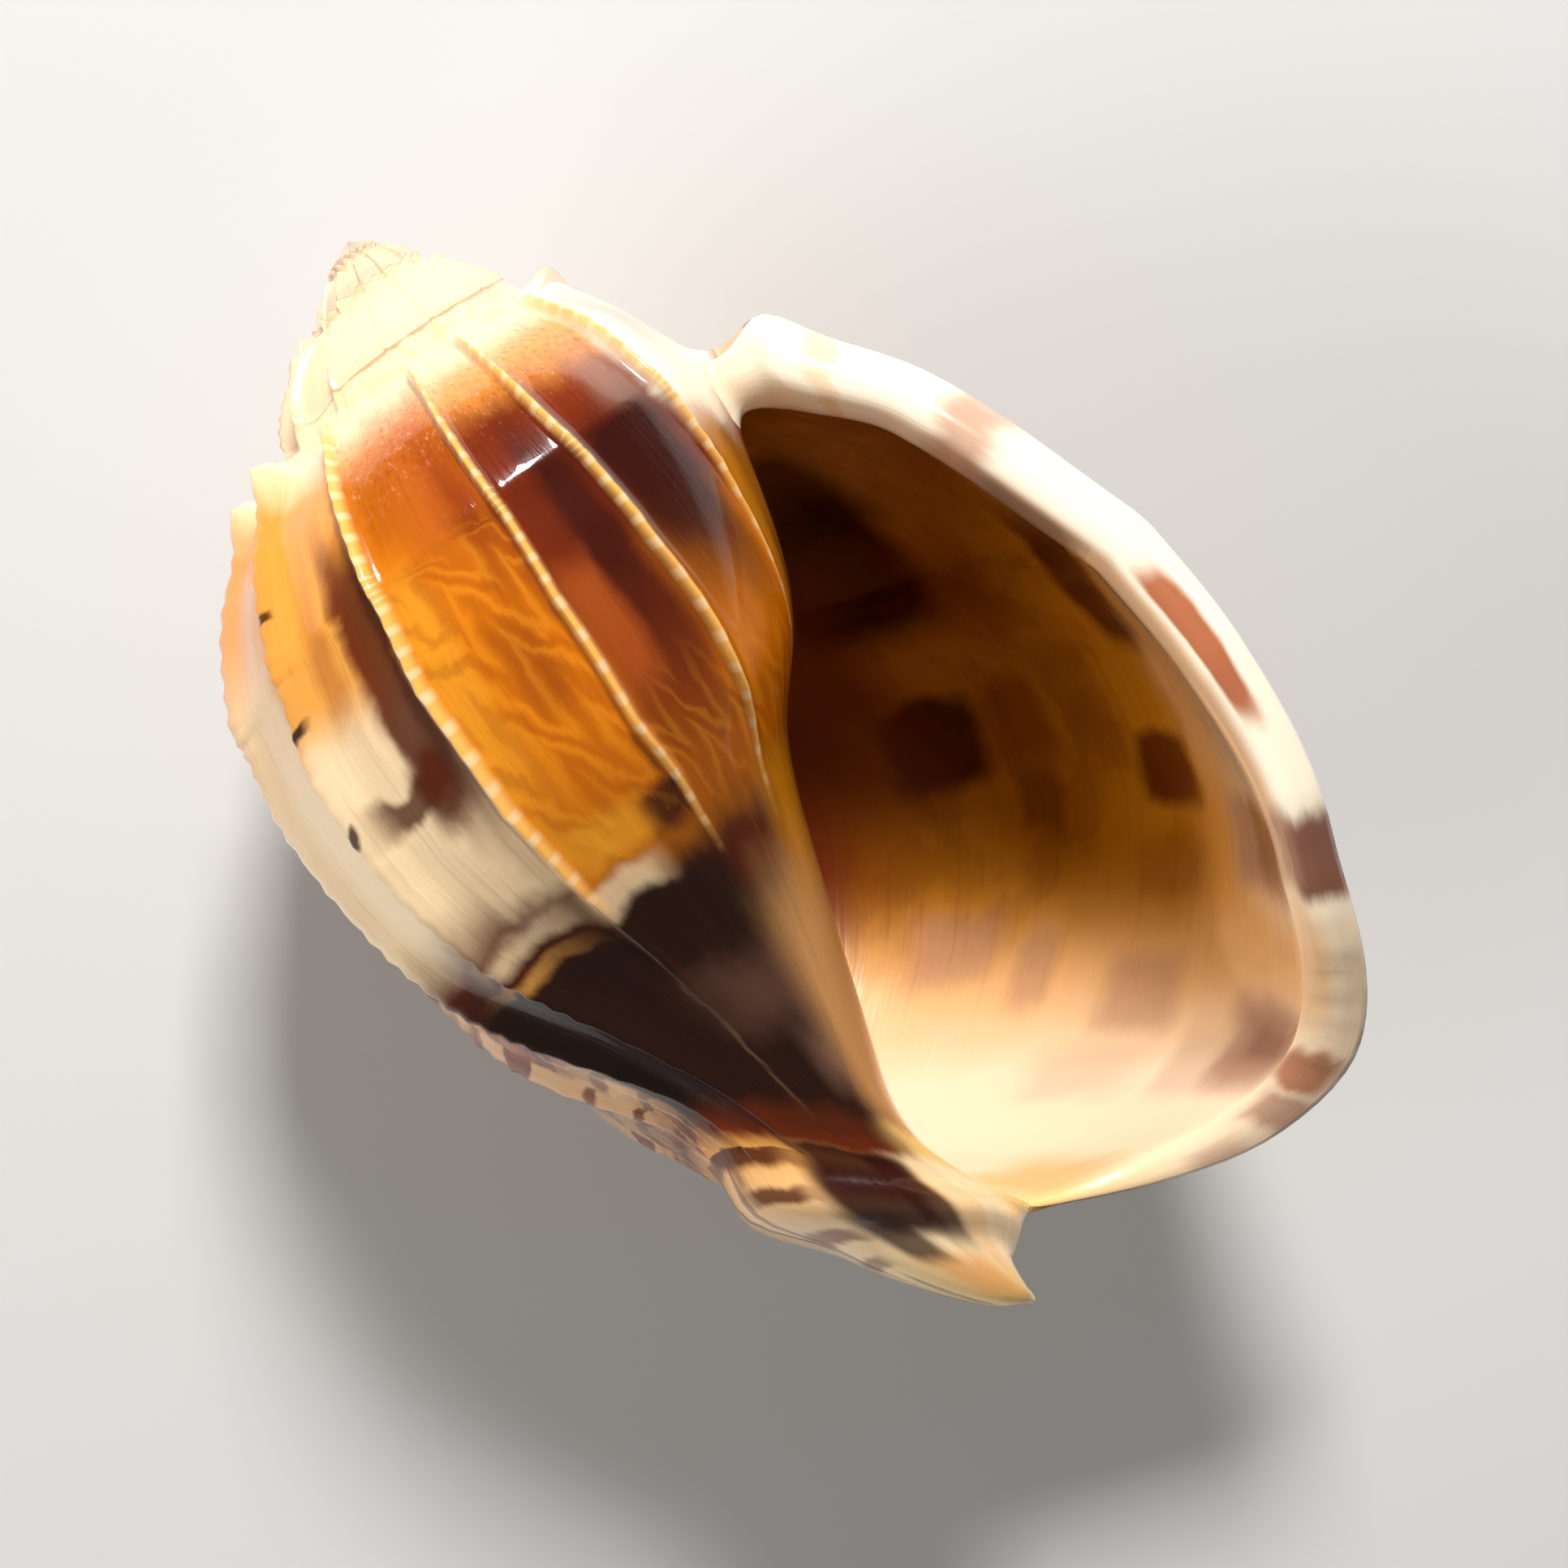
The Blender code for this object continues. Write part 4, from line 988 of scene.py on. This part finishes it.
FRONT_BLOTCHES = (
    (-12.45, 3.4, 0.50, 1.9, "white glaze", 0.95, 0.25),
    (-12.6, 6.2, 0.50, 0.9, "olive gold", 0.9, 0.3),
    (-11.55, 2.9, 0.36, 0.5, "shoulder orange", 0.8, 0.5),
    (-11.66, 4.0, 0.17, 0.9, "grey glaze", 0.75, 0.5),
    (-11.35, 4.1, 0.20, 0.9, "chestnut", 0.7, 0.6),
    (-11.45, 5.3, 0.42, 1.25, "maroon", 0.95, 0.45),
    (-10.55, 2.8, 0.36, 0.4, "shoulder orange", 0.7, 0.5),
    (-10.5, 5.3, 0.44, 2.1, "chestnut", 0.95, 0.35),
    (-10.38, 5.4, 0.30, 1.6, "maroon", 0.35, 0.8),
    (-10.72, 5.2, 0.24, 1.5, "maroon", 0.85, 0.6),
    (-10.30, 6.35, 0.20, 0.5, "rosy chestnut", 0.8, 0.5),
    (-9.45, 5.2, 0.50, 2.5, "golden", 0.95, 0.3),
    (-9.62, 3.5, 0.26, 1.2, "rosy chestnut", 0.8, 0.9),
    (-9.78, 4.3, 0.14, 1.1, "chestnut", 0.8, 0.9),
    (-9.25, 3.4, 0.16, 0.5, "chestnut", 0.35, 0.8),
    (-9.15, 5.9, 0.12, 1.4, "light golden", 0.6, 0.7),
    (-9.62, 6.3, 0.14, 0.35, "chestnut", 0.5, 0.6),
    (-8.45, 4.4, 0.44, 1.4, "light golden", 0.35, 0.6),
    (-8.38, 4.9, 0.10, 1.1, "rosy chestnut", 0.45, 0.7),
    (-8.30, 6.65, 0.34, 0.85, "cream", 0.9, 0.3),
    (-8.70, 7.3, 0.30, 0.55, "cream", 0.9, 0.3),
    (-8.52, 6.55, 0.32, 0.13, "stripe and shadow brown", 0.9, 0.45),
    (-8.70, 6.62, 0.15, 0.26, "stripe and shadow brown", 0.9, 0.5),
    (-8.80, 5.2, 0.16, 1.75, "stripe and shadow brown", 0.95, 0.3),
    (-8.66, 4.6, 0.08, 1.3, "red brown", 0.6, 0.5),
    (-7.5, 3.0, 0.42, 0.7, "shoulder orange", 0.5, 0.6),
    (-7.4, 5.6, 0.42, 1.8, "cream", 0.8, 0.4),
    (-9.8, 7.75, 0.20, 0.22, "maroon", 0.9, 0.5),
    (-9.35, 7.7, 0.25, 0.20, "light golden", 0.8, 0.6),
    (-10.6, 8.4, 0.7, 0.22, "stripe and shadow brown", 0.8, 0.5),
    (-9.25, 8.15, 0.25, 0.14, "cream", 0.6, 0.6),
    # Partly painted shade: the nearly black patch low on the base.
    (-9.5, 8.6, 0.5, 0.25, "base and shadow black", 0.8, 0.6),
    (-8.3, 8.10, 0.5, 0.10, "cream", 0.55, 0.9),
    (-8.0, 8.42, 0.5, 0.07, "tan", 0.5, 0.9),
    (-12.0, 8.6, 1.0, 0.8, "olive gold", 0.9, 0.3),
    (-11.6, 10.0, 1.4, 1.3, "horn", 0.95, 0.35),
    # Partly the columella's own greyish tone and partly painted reflection: faint grey and mauve patches in the
    # glaze.
    (-9.6, 9.5, 0.5, 0.3, "grey glaze", 0.22, 0.9),
    (-9.9, 10.3, 0.25, 0.3, "mauve", 0.25, 0.9),
    (-8.4, 11.3, 1.2, 0.4, "stripe and shadow brown", 0.9, 0.5),
    (-8.9, 11.55, 0.6, 0.2, "red brown", 0.35, 0.6),
    (-11.6, 11.6, 1.5, 0.55, "yellow cream", 0.9, 0.4),
    (-10.4, 12.1, 0.9, 0.45, "cream", 0.9, 0.4),
    (-8.7, 11.98, 0.80, 0.25, "maroon", 0.95, 0.3),
    (-9.25, 12.12, 0.35, 0.38, "maroon", 0.9, 0.4),
    # Painted shade: orange and peach patches where the cream of the canal's tip turns away from the light.
    (-8.5, 12.76, 0.9, 0.15, "shoulder orange", 0.6, 0.6),
    (-9.9, 12.5, 0.30, 0.5, "peach", 0.5, 0.6),
    (-8.45, 12.24, 0.70, 0.20, "maroon", 0.95, 0.3),
    (-8.0, 12.48, 0.48, 0.16, "maroon", 0.85, 0.4),
    (-6.7, 12.03, 1.1, 0.045, "stripe and shadow brown", 0.95, 0.5),
    (-7.0, 12.20, 0.6, 0.035, "stripe and shadow brown", 0.9, 0.5),
    (-6.6, 12.44, 0.7, 0.040, "red brown", 0.8, 0.5),
    (-6.2, 12.60, 0.6, 0.03, "stripe and shadow brown", 0.7, 0.5),
    (-13.6, 2.4, 1.1, 2.2, "white glaze", 0.95, 0.25),
    (-12.75, 2.8, 0.22, 0.8, "mauve", 0.45, 0.7),
    (-14.0, 2.4, 0.30, 0.6, "mauve", 0.5, 0.6),
    (-0.2, 1.0, 0.55, 1.5, "white glaze", 0.95, 0.3),
    # Painted shadow: three small dark dots in the gap beside the crest of rib -8.
    (-8.04, 3.6, 0.05, 0.06, "base and shadow black", 0.9, 0.5),
    (-8.04, 5.5, 0.08, 0.07, "base and shadow black", 0.95, 0.5),
    (-8.04, 6.5, 0.05, 0.06, "base and shadow black", 0.9, 0.5),
)

# %% [markdown]
# The zones below say where a wash of colour lies: its first and last rib or knot, and how softly it ends. A tint's
# last number is its strength.

# %% Paint the outside
SEAM_GAP, GARLAND_SAG, GARLANDS, THIN_LINES, FEATHERS = 0.75, 2.4, 1.35, 5.0, 1.5
STRAPS, FRONT, WHORL_BEFORE = (-9.0, -6.6, 0.1), (-13.2, -8.97, 0.05), (-26.4, -21.0, 0.3)
THREAD, GRAIN_RIBS, CORD_RIBS = (-38.0, -8.1, 1.0), (-11.95, -9.0, 0.05), (-12.5, -8.5, 0.1)
GOLD_RIBS, RED_RIBS = (-9.95, -9.05, 0.05), (-11.9, -10.05, 0.05)
GOLD_KNOTS, RED_KNOTS = (4.8, 7.6, 0.7), (7.0, 7.8, 0.4)
# The last of these knots, and the phases below, place the painted shadow along each rib's drop.
GRAIN_KNOTS, CORD_KNOTS, DROP_SHADOW_KNOTS = (2.1, 3.3, 0.5), (1.9, 8.0, 0.4), (1.8, 7.6, 0.4)
DROP_SHADOW_PHASES = (0.045, 0.075, 0.02)


def paint_back(n, rib, soft_rib, back_knot, cloud):
    """Brown garlands and thin pale lines over the bands of the back."""
    sag = n.times(n.math("POWER", n.math("ABSOLUTE", n.minus(n.math("FRACT", rib), 0.5)), 2.0), GARLAND_SAG)
    garland = n.wave(n.minus(back_knot, sag), GARLANDS)
    thin = n.wave(n.plus(soft_rib, n.times(cloud, 0.5)), THIN_LINES)
    back = n.tint(n.ramp(back_knot, BACK_RAMP), "stripe and shadow brown", n.rise(garland, 0.35, 0.85), 0.65)
    return n.tint(back, "cream", n.rise(thin, 0.6, 1.0), 0.22)


def paint_outside():
    material, n, shader, place = glaze("glazed_outside", 0.10, 0.05, 0.45)
    rib, knot, ragged, cloud = place["Rib"], place["Knot"], place["Ragged Place"], place["Cloud"]
    soft_rib, soft_knot = n.split(ragged)[0:2]
    phase = n.from_whole(rib)
    past_seam = n.math("SUBTRACT", soft_knot, float(SEAM), clamp=True)
    back_knot = n.minus(soft_knot, n.times(past_seam, SEAM_GAP))

    # The ground: the back, the straps and the front, with the paler spire.
    colour = paint_back(n, rib, soft_rib, back_knot, cloud)
    colour = n.mix(colour, n.ramp(soft_knot, STRAP_RAMP), n.between(soft_rib, *STRAPS))
    colour = n.mix(colour, n.ramp(soft_knot, FRONT_RAMP), n.between(soft_rib, *FRONT))
    colour = n.tint(colour, "pink cream", n.rise(rib, -13.2, -13.8), 0.8)
    colour = n.tint(colour, "cream", n.between(rib, *WHORL_BEFORE), 0.9)
    warm = n.times(n.rise(cloud, 0.48, 0.62), n.rise(knot, 2.2, 1.2))
    colour = n.tint(colour, "shoulder orange", warm, n.rise(rib, -6.5, -8.5), 0.22)
    colour = lay(n, colour, ragged, FRONT_BLOTCHES)
    colour = n.tint(colour, "rosy chestnut", n.rise(soft_knot, 0.22, 0.04), n.between(rib, *THREAD), 0.55)

    # Feathery marks in the golden parts, and specks below the shoulder.
    warp = n.times(cloud, 0.7)
    chevron = n.math("PINGPONG", n.plus(n.times(soft_rib, 2.2), n.times(soft_knot, 0.7), warp), 0.5)
    feather = n.wave(n.plus(soft_knot, n.times(chevron, 1.6), warp), FEATHERS)
    red_part = n.zone(rib, RED_RIBS, soft_knot, RED_KNOTS)
    gold = n.math("MAXIMUM", n.zone(rib, GOLD_RIBS, soft_knot, GOLD_KNOTS), red_part)
    colour = n.tint(colour, "chestnut", n.rise(feather, -0.4, 1.0), gold, 0.26)
    colour = n.tint(colour, "light golden", n.rise(feather, -0.3, -1.0), gold, 0.22)
    flecks = n.noise(n.vector(n.times(rib, 20.0), n.times(knot, 10.0), 5.0), 1.0, 5.0, 0.7)
    grainy = n.zone(rib, GRAIN_RIBS, knot, GRAIN_KNOTS)
    colour = n.tint(colour, "pink cream", n.rise(flecks, 0.55, 0.68), grainy, 0.30)
    colour = n.tint(colour, "chestnut", n.rise(flecks, 0.47, 0.35), grainy, 0.5)

    # The pale, beaded cords of the front ribs, the barred ribs of the back, and a painted shadow along the steep
    # drop of every rib from the straps round the back.
    cord = n.rise(n.math("ABSOLUTE", n.plus(phase, 0.012)), 0.065, 0.012)
    on_front = n.zone(rib, CORD_RIBS, soft_knot, CORD_KNOTS)
    colour = n.tint(colour, "cord", cord, on_front, 0.9)
    beads = n.rise(n.wave(knot, BEADS_PER_KNOT), 0.1, 0.9)
    colour = n.tint(colour, "cream", cord, on_front, beads, 0.6)
    bars = n.noise(n.vector(n.times(n.math("ROUND", rib), 3.7), n.times(back_knot, 2.2)), 1.0, 1.0)
    bar = n.mix(COLOURS["fawn"], COLOURS["red brown"], n.rise(bars, 0.50, 0.56))
    broad = n.rise(n.math("ABSOLUTE", n.plus(phase, 0.05)), 0.20, 0.15)
    round_back = n.times(n.rise(rib, -6.8, -6.4), n.rise(knot, 11.5, 10.5), n.rise(knot, 0.2, 1.2))
    colour = n.mix(colour, bar, n.times(broad, round_back, 0.9))
    # Painted shadow: a thin dark line just past each crest, where the rib drops steeply towards the lip.
    painted_drop_shadow = n.zone(phase, DROP_SHADOW_PHASES, knot, DROP_SHADOW_KNOTS)
    colour = n.tint(colour, "stripe and shadow brown", painted_drop_shadow, n.rise(rib, -9.5, -8.9), 0.55)
    colour = n.tint(colour, "stripe and shadow brown", n.rise(place["Lines"], 0.52, 0.75), 0.18)
    n.feed(shader.inputs["Base Color"], colour)
    return material


# %% [markdown]
# ### The lining of the mouth
# Inside, the colours of the outside show through the wall: golden brown with dark squares deep in, paler towards
# the lip, and cream and pink low down. The golden brown is partly the lining's own colour and partly a painted
# glow of light shining through the wall.

# %% Colours of the lining
# The golden brown of this ramp is partly the lining's own colour and partly a painted glow of light through the
# wall.
DEPTH_RAMP = (
    (-4.0, "stripe and shadow brown"), (-3.0, "red brown"), (-2.2, "olive gold"), (-0.9, "olive gold"), (-0.6, "tan"),
    (-0.3, "cream"), (0.0, "white glaze"),
)
LOW_RAMP = (
    (6.5, "olive gold"), (7.8, "tan"), (8.5, "peach"), (9.4, "pink cream"), (11.0, "pink cream"),
    (12.4, "yellow cream"),
)
LINING_BLOTCHES = (
    (-2.15, 4.2, 0.42, 1.1, "maroon", 0.95, 0.25),
    (-1.95, 3.0, 0.35, 0.5, "maroon", 0.8, 0.4),
    (-1.62, 4.6, 0.25, 0.8, "red brown", 0.45, 0.5),
    (-2.25, 6.35, 0.28, 0.35, "maroon", 0.9, 0.3),
    (-1.75, 6.3, 0.16, 0.35, "red brown", 0.5, 0.5),
    (-2.8, 5.0, 0.5, 1.6, "chestnut", 0.7, 0.5),
    (-1.78, 6.95, 0.10, 0.25, "stripe and shadow brown", 0.5, 0.5),
    (-1.35, 6.2, 0.16, 0.5, "red brown", 0.35, 0.5),
    (-0.80, 4.5, 0.17, 0.75, "stripe and shadow brown", 0.9, 0.35),
    (-0.82, 5.5, 0.15, 0.35, "stripe and shadow brown", 0.85, 0.4),
    (-0.98, 6.85, 0.19, 0.27, "stripe and shadow brown", 0.9, 0.3),
    (-1.3, 2.8, 0.35, 0.45, "tan", 0.5, 0.5),
    (-0.62, 6.3, 0.12, 0.6, "peach", 0.6, 0.6),
    (-1.0, 7.55, 0.22, 0.22, "red brown", 0.3, 0.5),
    (-1.75, 8.3, 0.12, 0.3, "mauve", 0.5, 0.5),
    (-2.25, 8.05, 0.25, 0.3, "mauve", 0.6, 0.5),
    (-1.1, 8.6, 0.22, 0.35, "mauve", 0.55, 0.4),
    (-1.25, 9.4, 0.3, 0.3, "mauve", 0.3, 0.6),
    (-0.62, 9.3, 0.14, 0.4, "mauve", 0.35, 0.5),
    (-0.22, 7.35, 0.30, 0.36, "mauve", 0.8, 0.4),
    (-0.10, 7.3, 0.16, 0.30, "stripe and shadow brown", 0.6, 0.5),
    (-0.2, 9.1, 0.25, 0.5, "mauve", 0.9, 0.4),
    (-0.12, 9.0, 0.16, 0.28, "stripe and shadow brown", 0.45, 0.6),
    (-0.30, 8.2, 0.35, 0.25, "tan", 0.35, 0.6),
    (-0.5, 11.3, 0.5, 0.5, "light golden", 0.6, 0.6),
)


def paint_lining():
    material, n, shader, place = glaze("mouth_lining", 0.16, 0.03, 0.35)
    soft_rib, soft_knot = n.split(place["Ragged Place"])[0:2]
    colour = n.mix(n.ramp(soft_rib, DEPTH_RAMP), n.ramp(soft_knot, LOW_RAMP), n.rise(soft_knot, 7.2, 8.4))
    colour = lay(n, colour, place["Ragged Place"], LINING_BLOTCHES)
    streaks = n.rise(place["Lines"], 0.5, 0.8)
    colour = n.tint(colour, "stripe and shadow brown", streaks, n.rise(soft_knot, 9.5, 7.5), 0.2)
    deep = n.times(n.rise(soft_knot, 8.5, 7.5), n.rise(place["Rib"], -0.7, -1.1))
    colour = n.tint(colour, "red brown", n.rise(place["Cloud"], 0.45, 0.62), deep, 0.25)
    n.feed(shader.inputs["Base Color"], colour)
    return material


# %% [markdown]
# ### The porcelain lip
# The lip is white and thick, with a few brown patches where the bands of the outside reach it.

# %% Colours of the lip
LIP_RAMP = (
    (0.0, "pink cream"), (1.5, "white glaze"), (7.2, "white glaze"), (8.2, "pink cream"), (9.4, "pink cream"),
    (10.5, "pink cream"), (12.0, "yellow cream"),
)
LIP_BLOTCHES = (
    (0.92, 5.4, 0.25, 2.2, "peach", 0.7, 0.5),
    # Painted shade: a thin peach line in the fold just below the lip's spine.
    (0.5, 2.35, 0.7, 0.10, "peach", 0.5, 0.6),
    (0.5, 3.30, 0.7, 0.13, "lip brown", 0.6, 0.6),
    (0.95, 3.7, 0.25, 0.3, "stripe and shadow brown", 0.7, 0.4),
    (0.38, 5.75, 0.17, 0.62, "lip brown", 0.95, 0.25),
    (0.30, 7.35, 0.42, 0.30, "red brown", 0.9, 0.25),
    (0.80, 7.25, 0.25, 0.28, "mauve", 0.7, 0.4),
    (0.8, 8.3, 0.3, 0.5, "peach", 0.6, 0.5),
    (0.55, 9.25, 0.45, 0.22, "lip brown", 0.8, 0.35),
    (0.35, 9.72, 0.45, 0.18, "mauve", 0.8, 0.4),
    (0.2, 10.3, 0.3, 0.2, "mauve", 0.5, 0.6),
)


def paint_lip():
    material, n, shader, place = glaze("porcelain_lip", 0.12, 0.02, 0.3)
    colour = lay(n, n.ramp(place["Knot"], LIP_RAMP), place["Ragged Place"], LIP_BLOTCHES)
    n.feed(shader.inputs["Base Color"], colour)
    return material


MATERIALS = {"Outside": paint_outside(), "Inside": paint_lining(), "Lip": paint_lip()}
print("finishes:", [material.name for material in MATERIALS.values()])


# %% Apply the tree and keep a plain mesh
def wind_up(shell):
    for material in MATERIALS.values():
        shell.data.materials.append(material)
    modifier = shell.modifiers.new("wind up", "NODES")
    modifier.node_group = winding
    settings = {**WINDING_INPUTS, **MATERIALS}
    for item in winding.interface.items_tree:
        if item.in_out == "INPUT" and item.name in settings:
            modifier[item.identifier] = settings[item.name]
    graph = bpy.context.evaluated_depsgraph_get()
    plain = bpy.data.meshes.new_from_object(shell.evaluated_get(graph), depsgraph=graph)
    shell.modifiers.remove(modifier)
    shell.data = plain
    plain.name = "harp_shell_body"
    for polygon in plain.polygons:
        polygon.use_smooth = True
    return plain


plain = wind_up(shell)
print("wound up:", len(plain.polygons), "faces,", [m.name for m in plain.materials])

# %% [markdown]
# ## The piece and its frame
# The finished mesh stands for the plain solid and rides on the only body.

# %% Join it to the frame
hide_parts("shell")
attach(shell, "root")

# %% [markdown]
# ## Camera
# The photo looks straight down on the coiling axis with the mouth facing the lens. The axis runs from upper left
# to lower right, so the camera is turned about its own line of sight. One millimetre is 19.65 pixels there.

# %% Camera
PHOTO_PIXELS = 1932
PIXELS_PER_MM = 19.65
APEX_PIXEL = (425.0, 290.0)
AXIS_ANGLE = 62.24
CAMERA_DISTANCE = 240.0
SENSOR_WIDTH = 36.0


def photo_camera():
    down = np.array((math.cos(math.radians(AXIS_ANGLE)), math.sin(math.radians(AXIS_ANGLE))))
    side = np.array((down[1], -down[0]))
    middle = (np.array((PHOTO_PIXELS, PHOTO_PIXELS)) / 2.0 - APEX_PIXEL) / PIXELS_PER_MM
    along, across_axis = middle @ down, middle @ side
    right = Vector((side[0], -down[0], 0.0))
    up = Vector((-side[1], down[1], 0.0))
    turn = Matrix((right, up, Vector((0.0, 0.0, 1.0)))).transposed().to_4x4()
    own = Matrix.Translation(Vector((across_axis, -along, CAMERA_DISTANCE)) * MM) @ turn
    rest = Euler((math.radians(REST_PITCH), 0.0, 0.0)).to_matrix().to_4x4()
    rest = rest @ Matrix.Translation(-Vector(REST_SPOT) * MM)
    data = bpy.data.cameras.new("photo camera")
    data.sensor_width = SENSOR_WIDTH
    data.lens = SENSOR_WIDTH * CAMERA_DISTANCE * PIXELS_PER_MM / PHOTO_PIXELS
    data.clip_start = 0.01
    camera = bpy.data.objects.new("photo camera", data)
    camera.matrix_world = rest @ own
    bpy.context.scene.collection.objects.link(camera)
    bpy.context.scene.camera = camera
    return camera


camera = photo_camera()
print("camera at", [round(x, 3) for x in camera.matrix_world.translation], "lens", round(camera.data.lens, 1))

# %% [markdown]
# ## Floor and light
# A plain pale floor, a small soft key light from beyond the spire, and a wide soft fill from the left, which
# leaves no reflection in the glaze.

# %% Floor and light
FLOOR_SIZE, FLOOR_COLOUR, FLOOR_ROUGHNESS = 3.0, (0.62, 0.61, 0.59, 1.0), 0.7
SKY_COLOUR, SKY_STRENGTH = (0.86, 0.84, 0.80, 1.0), 0.12
AIM = (0.0, 0.0, 0.02)
bpy.ops.mesh.primitive_plane_add(size=FLOOR_SIZE, location=(0.0, 0.0, 0.0))
floor = bpy.context.object
floor.name = "floor"
floor_finish = bpy.data.materials.new("pale floor")
floor_finish.use_nodes = True
floor_shader = floor_finish.node_tree.nodes["Principled BSDF"]
floor_shader.inputs["Base Color"].default_value = FLOOR_COLOUR
floor_shader.inputs["Roughness"].default_value = FLOOR_ROUGHNESS
floor.data.materials.append(floor_finish)


def softbox(name, place, size, power):
    data = bpy.data.lights.new(name, "AREA")
    data.size = size
    data.energy = power
    lamp = bpy.data.objects.new(name, data)
    lamp.location = place
    lamp.rotation_euler = (Vector(AIM) - Vector(place)).to_track_quat("-Z", "Y").to_euler()
    bpy.context.scene.collection.objects.link(lamp)
    return lamp


softbox("key", (0.22, 0.42, 0.42), 0.13, 5.6)
fill = softbox("fill", (-0.62, 0.05, 0.36), 0.6, 3.4)
fill.visible_glossy = False
world = bpy.data.worlds.new("studio")
world.use_nodes = True
world.node_tree.nodes["Background"].inputs["Color"].default_value = SKY_COLOUR
world.node_tree.nodes["Background"].inputs["Strength"].default_value = SKY_STRENGTH
bpy.context.scene.world = world
bpy.context.scene.view_settings.view_transform = "Standard"
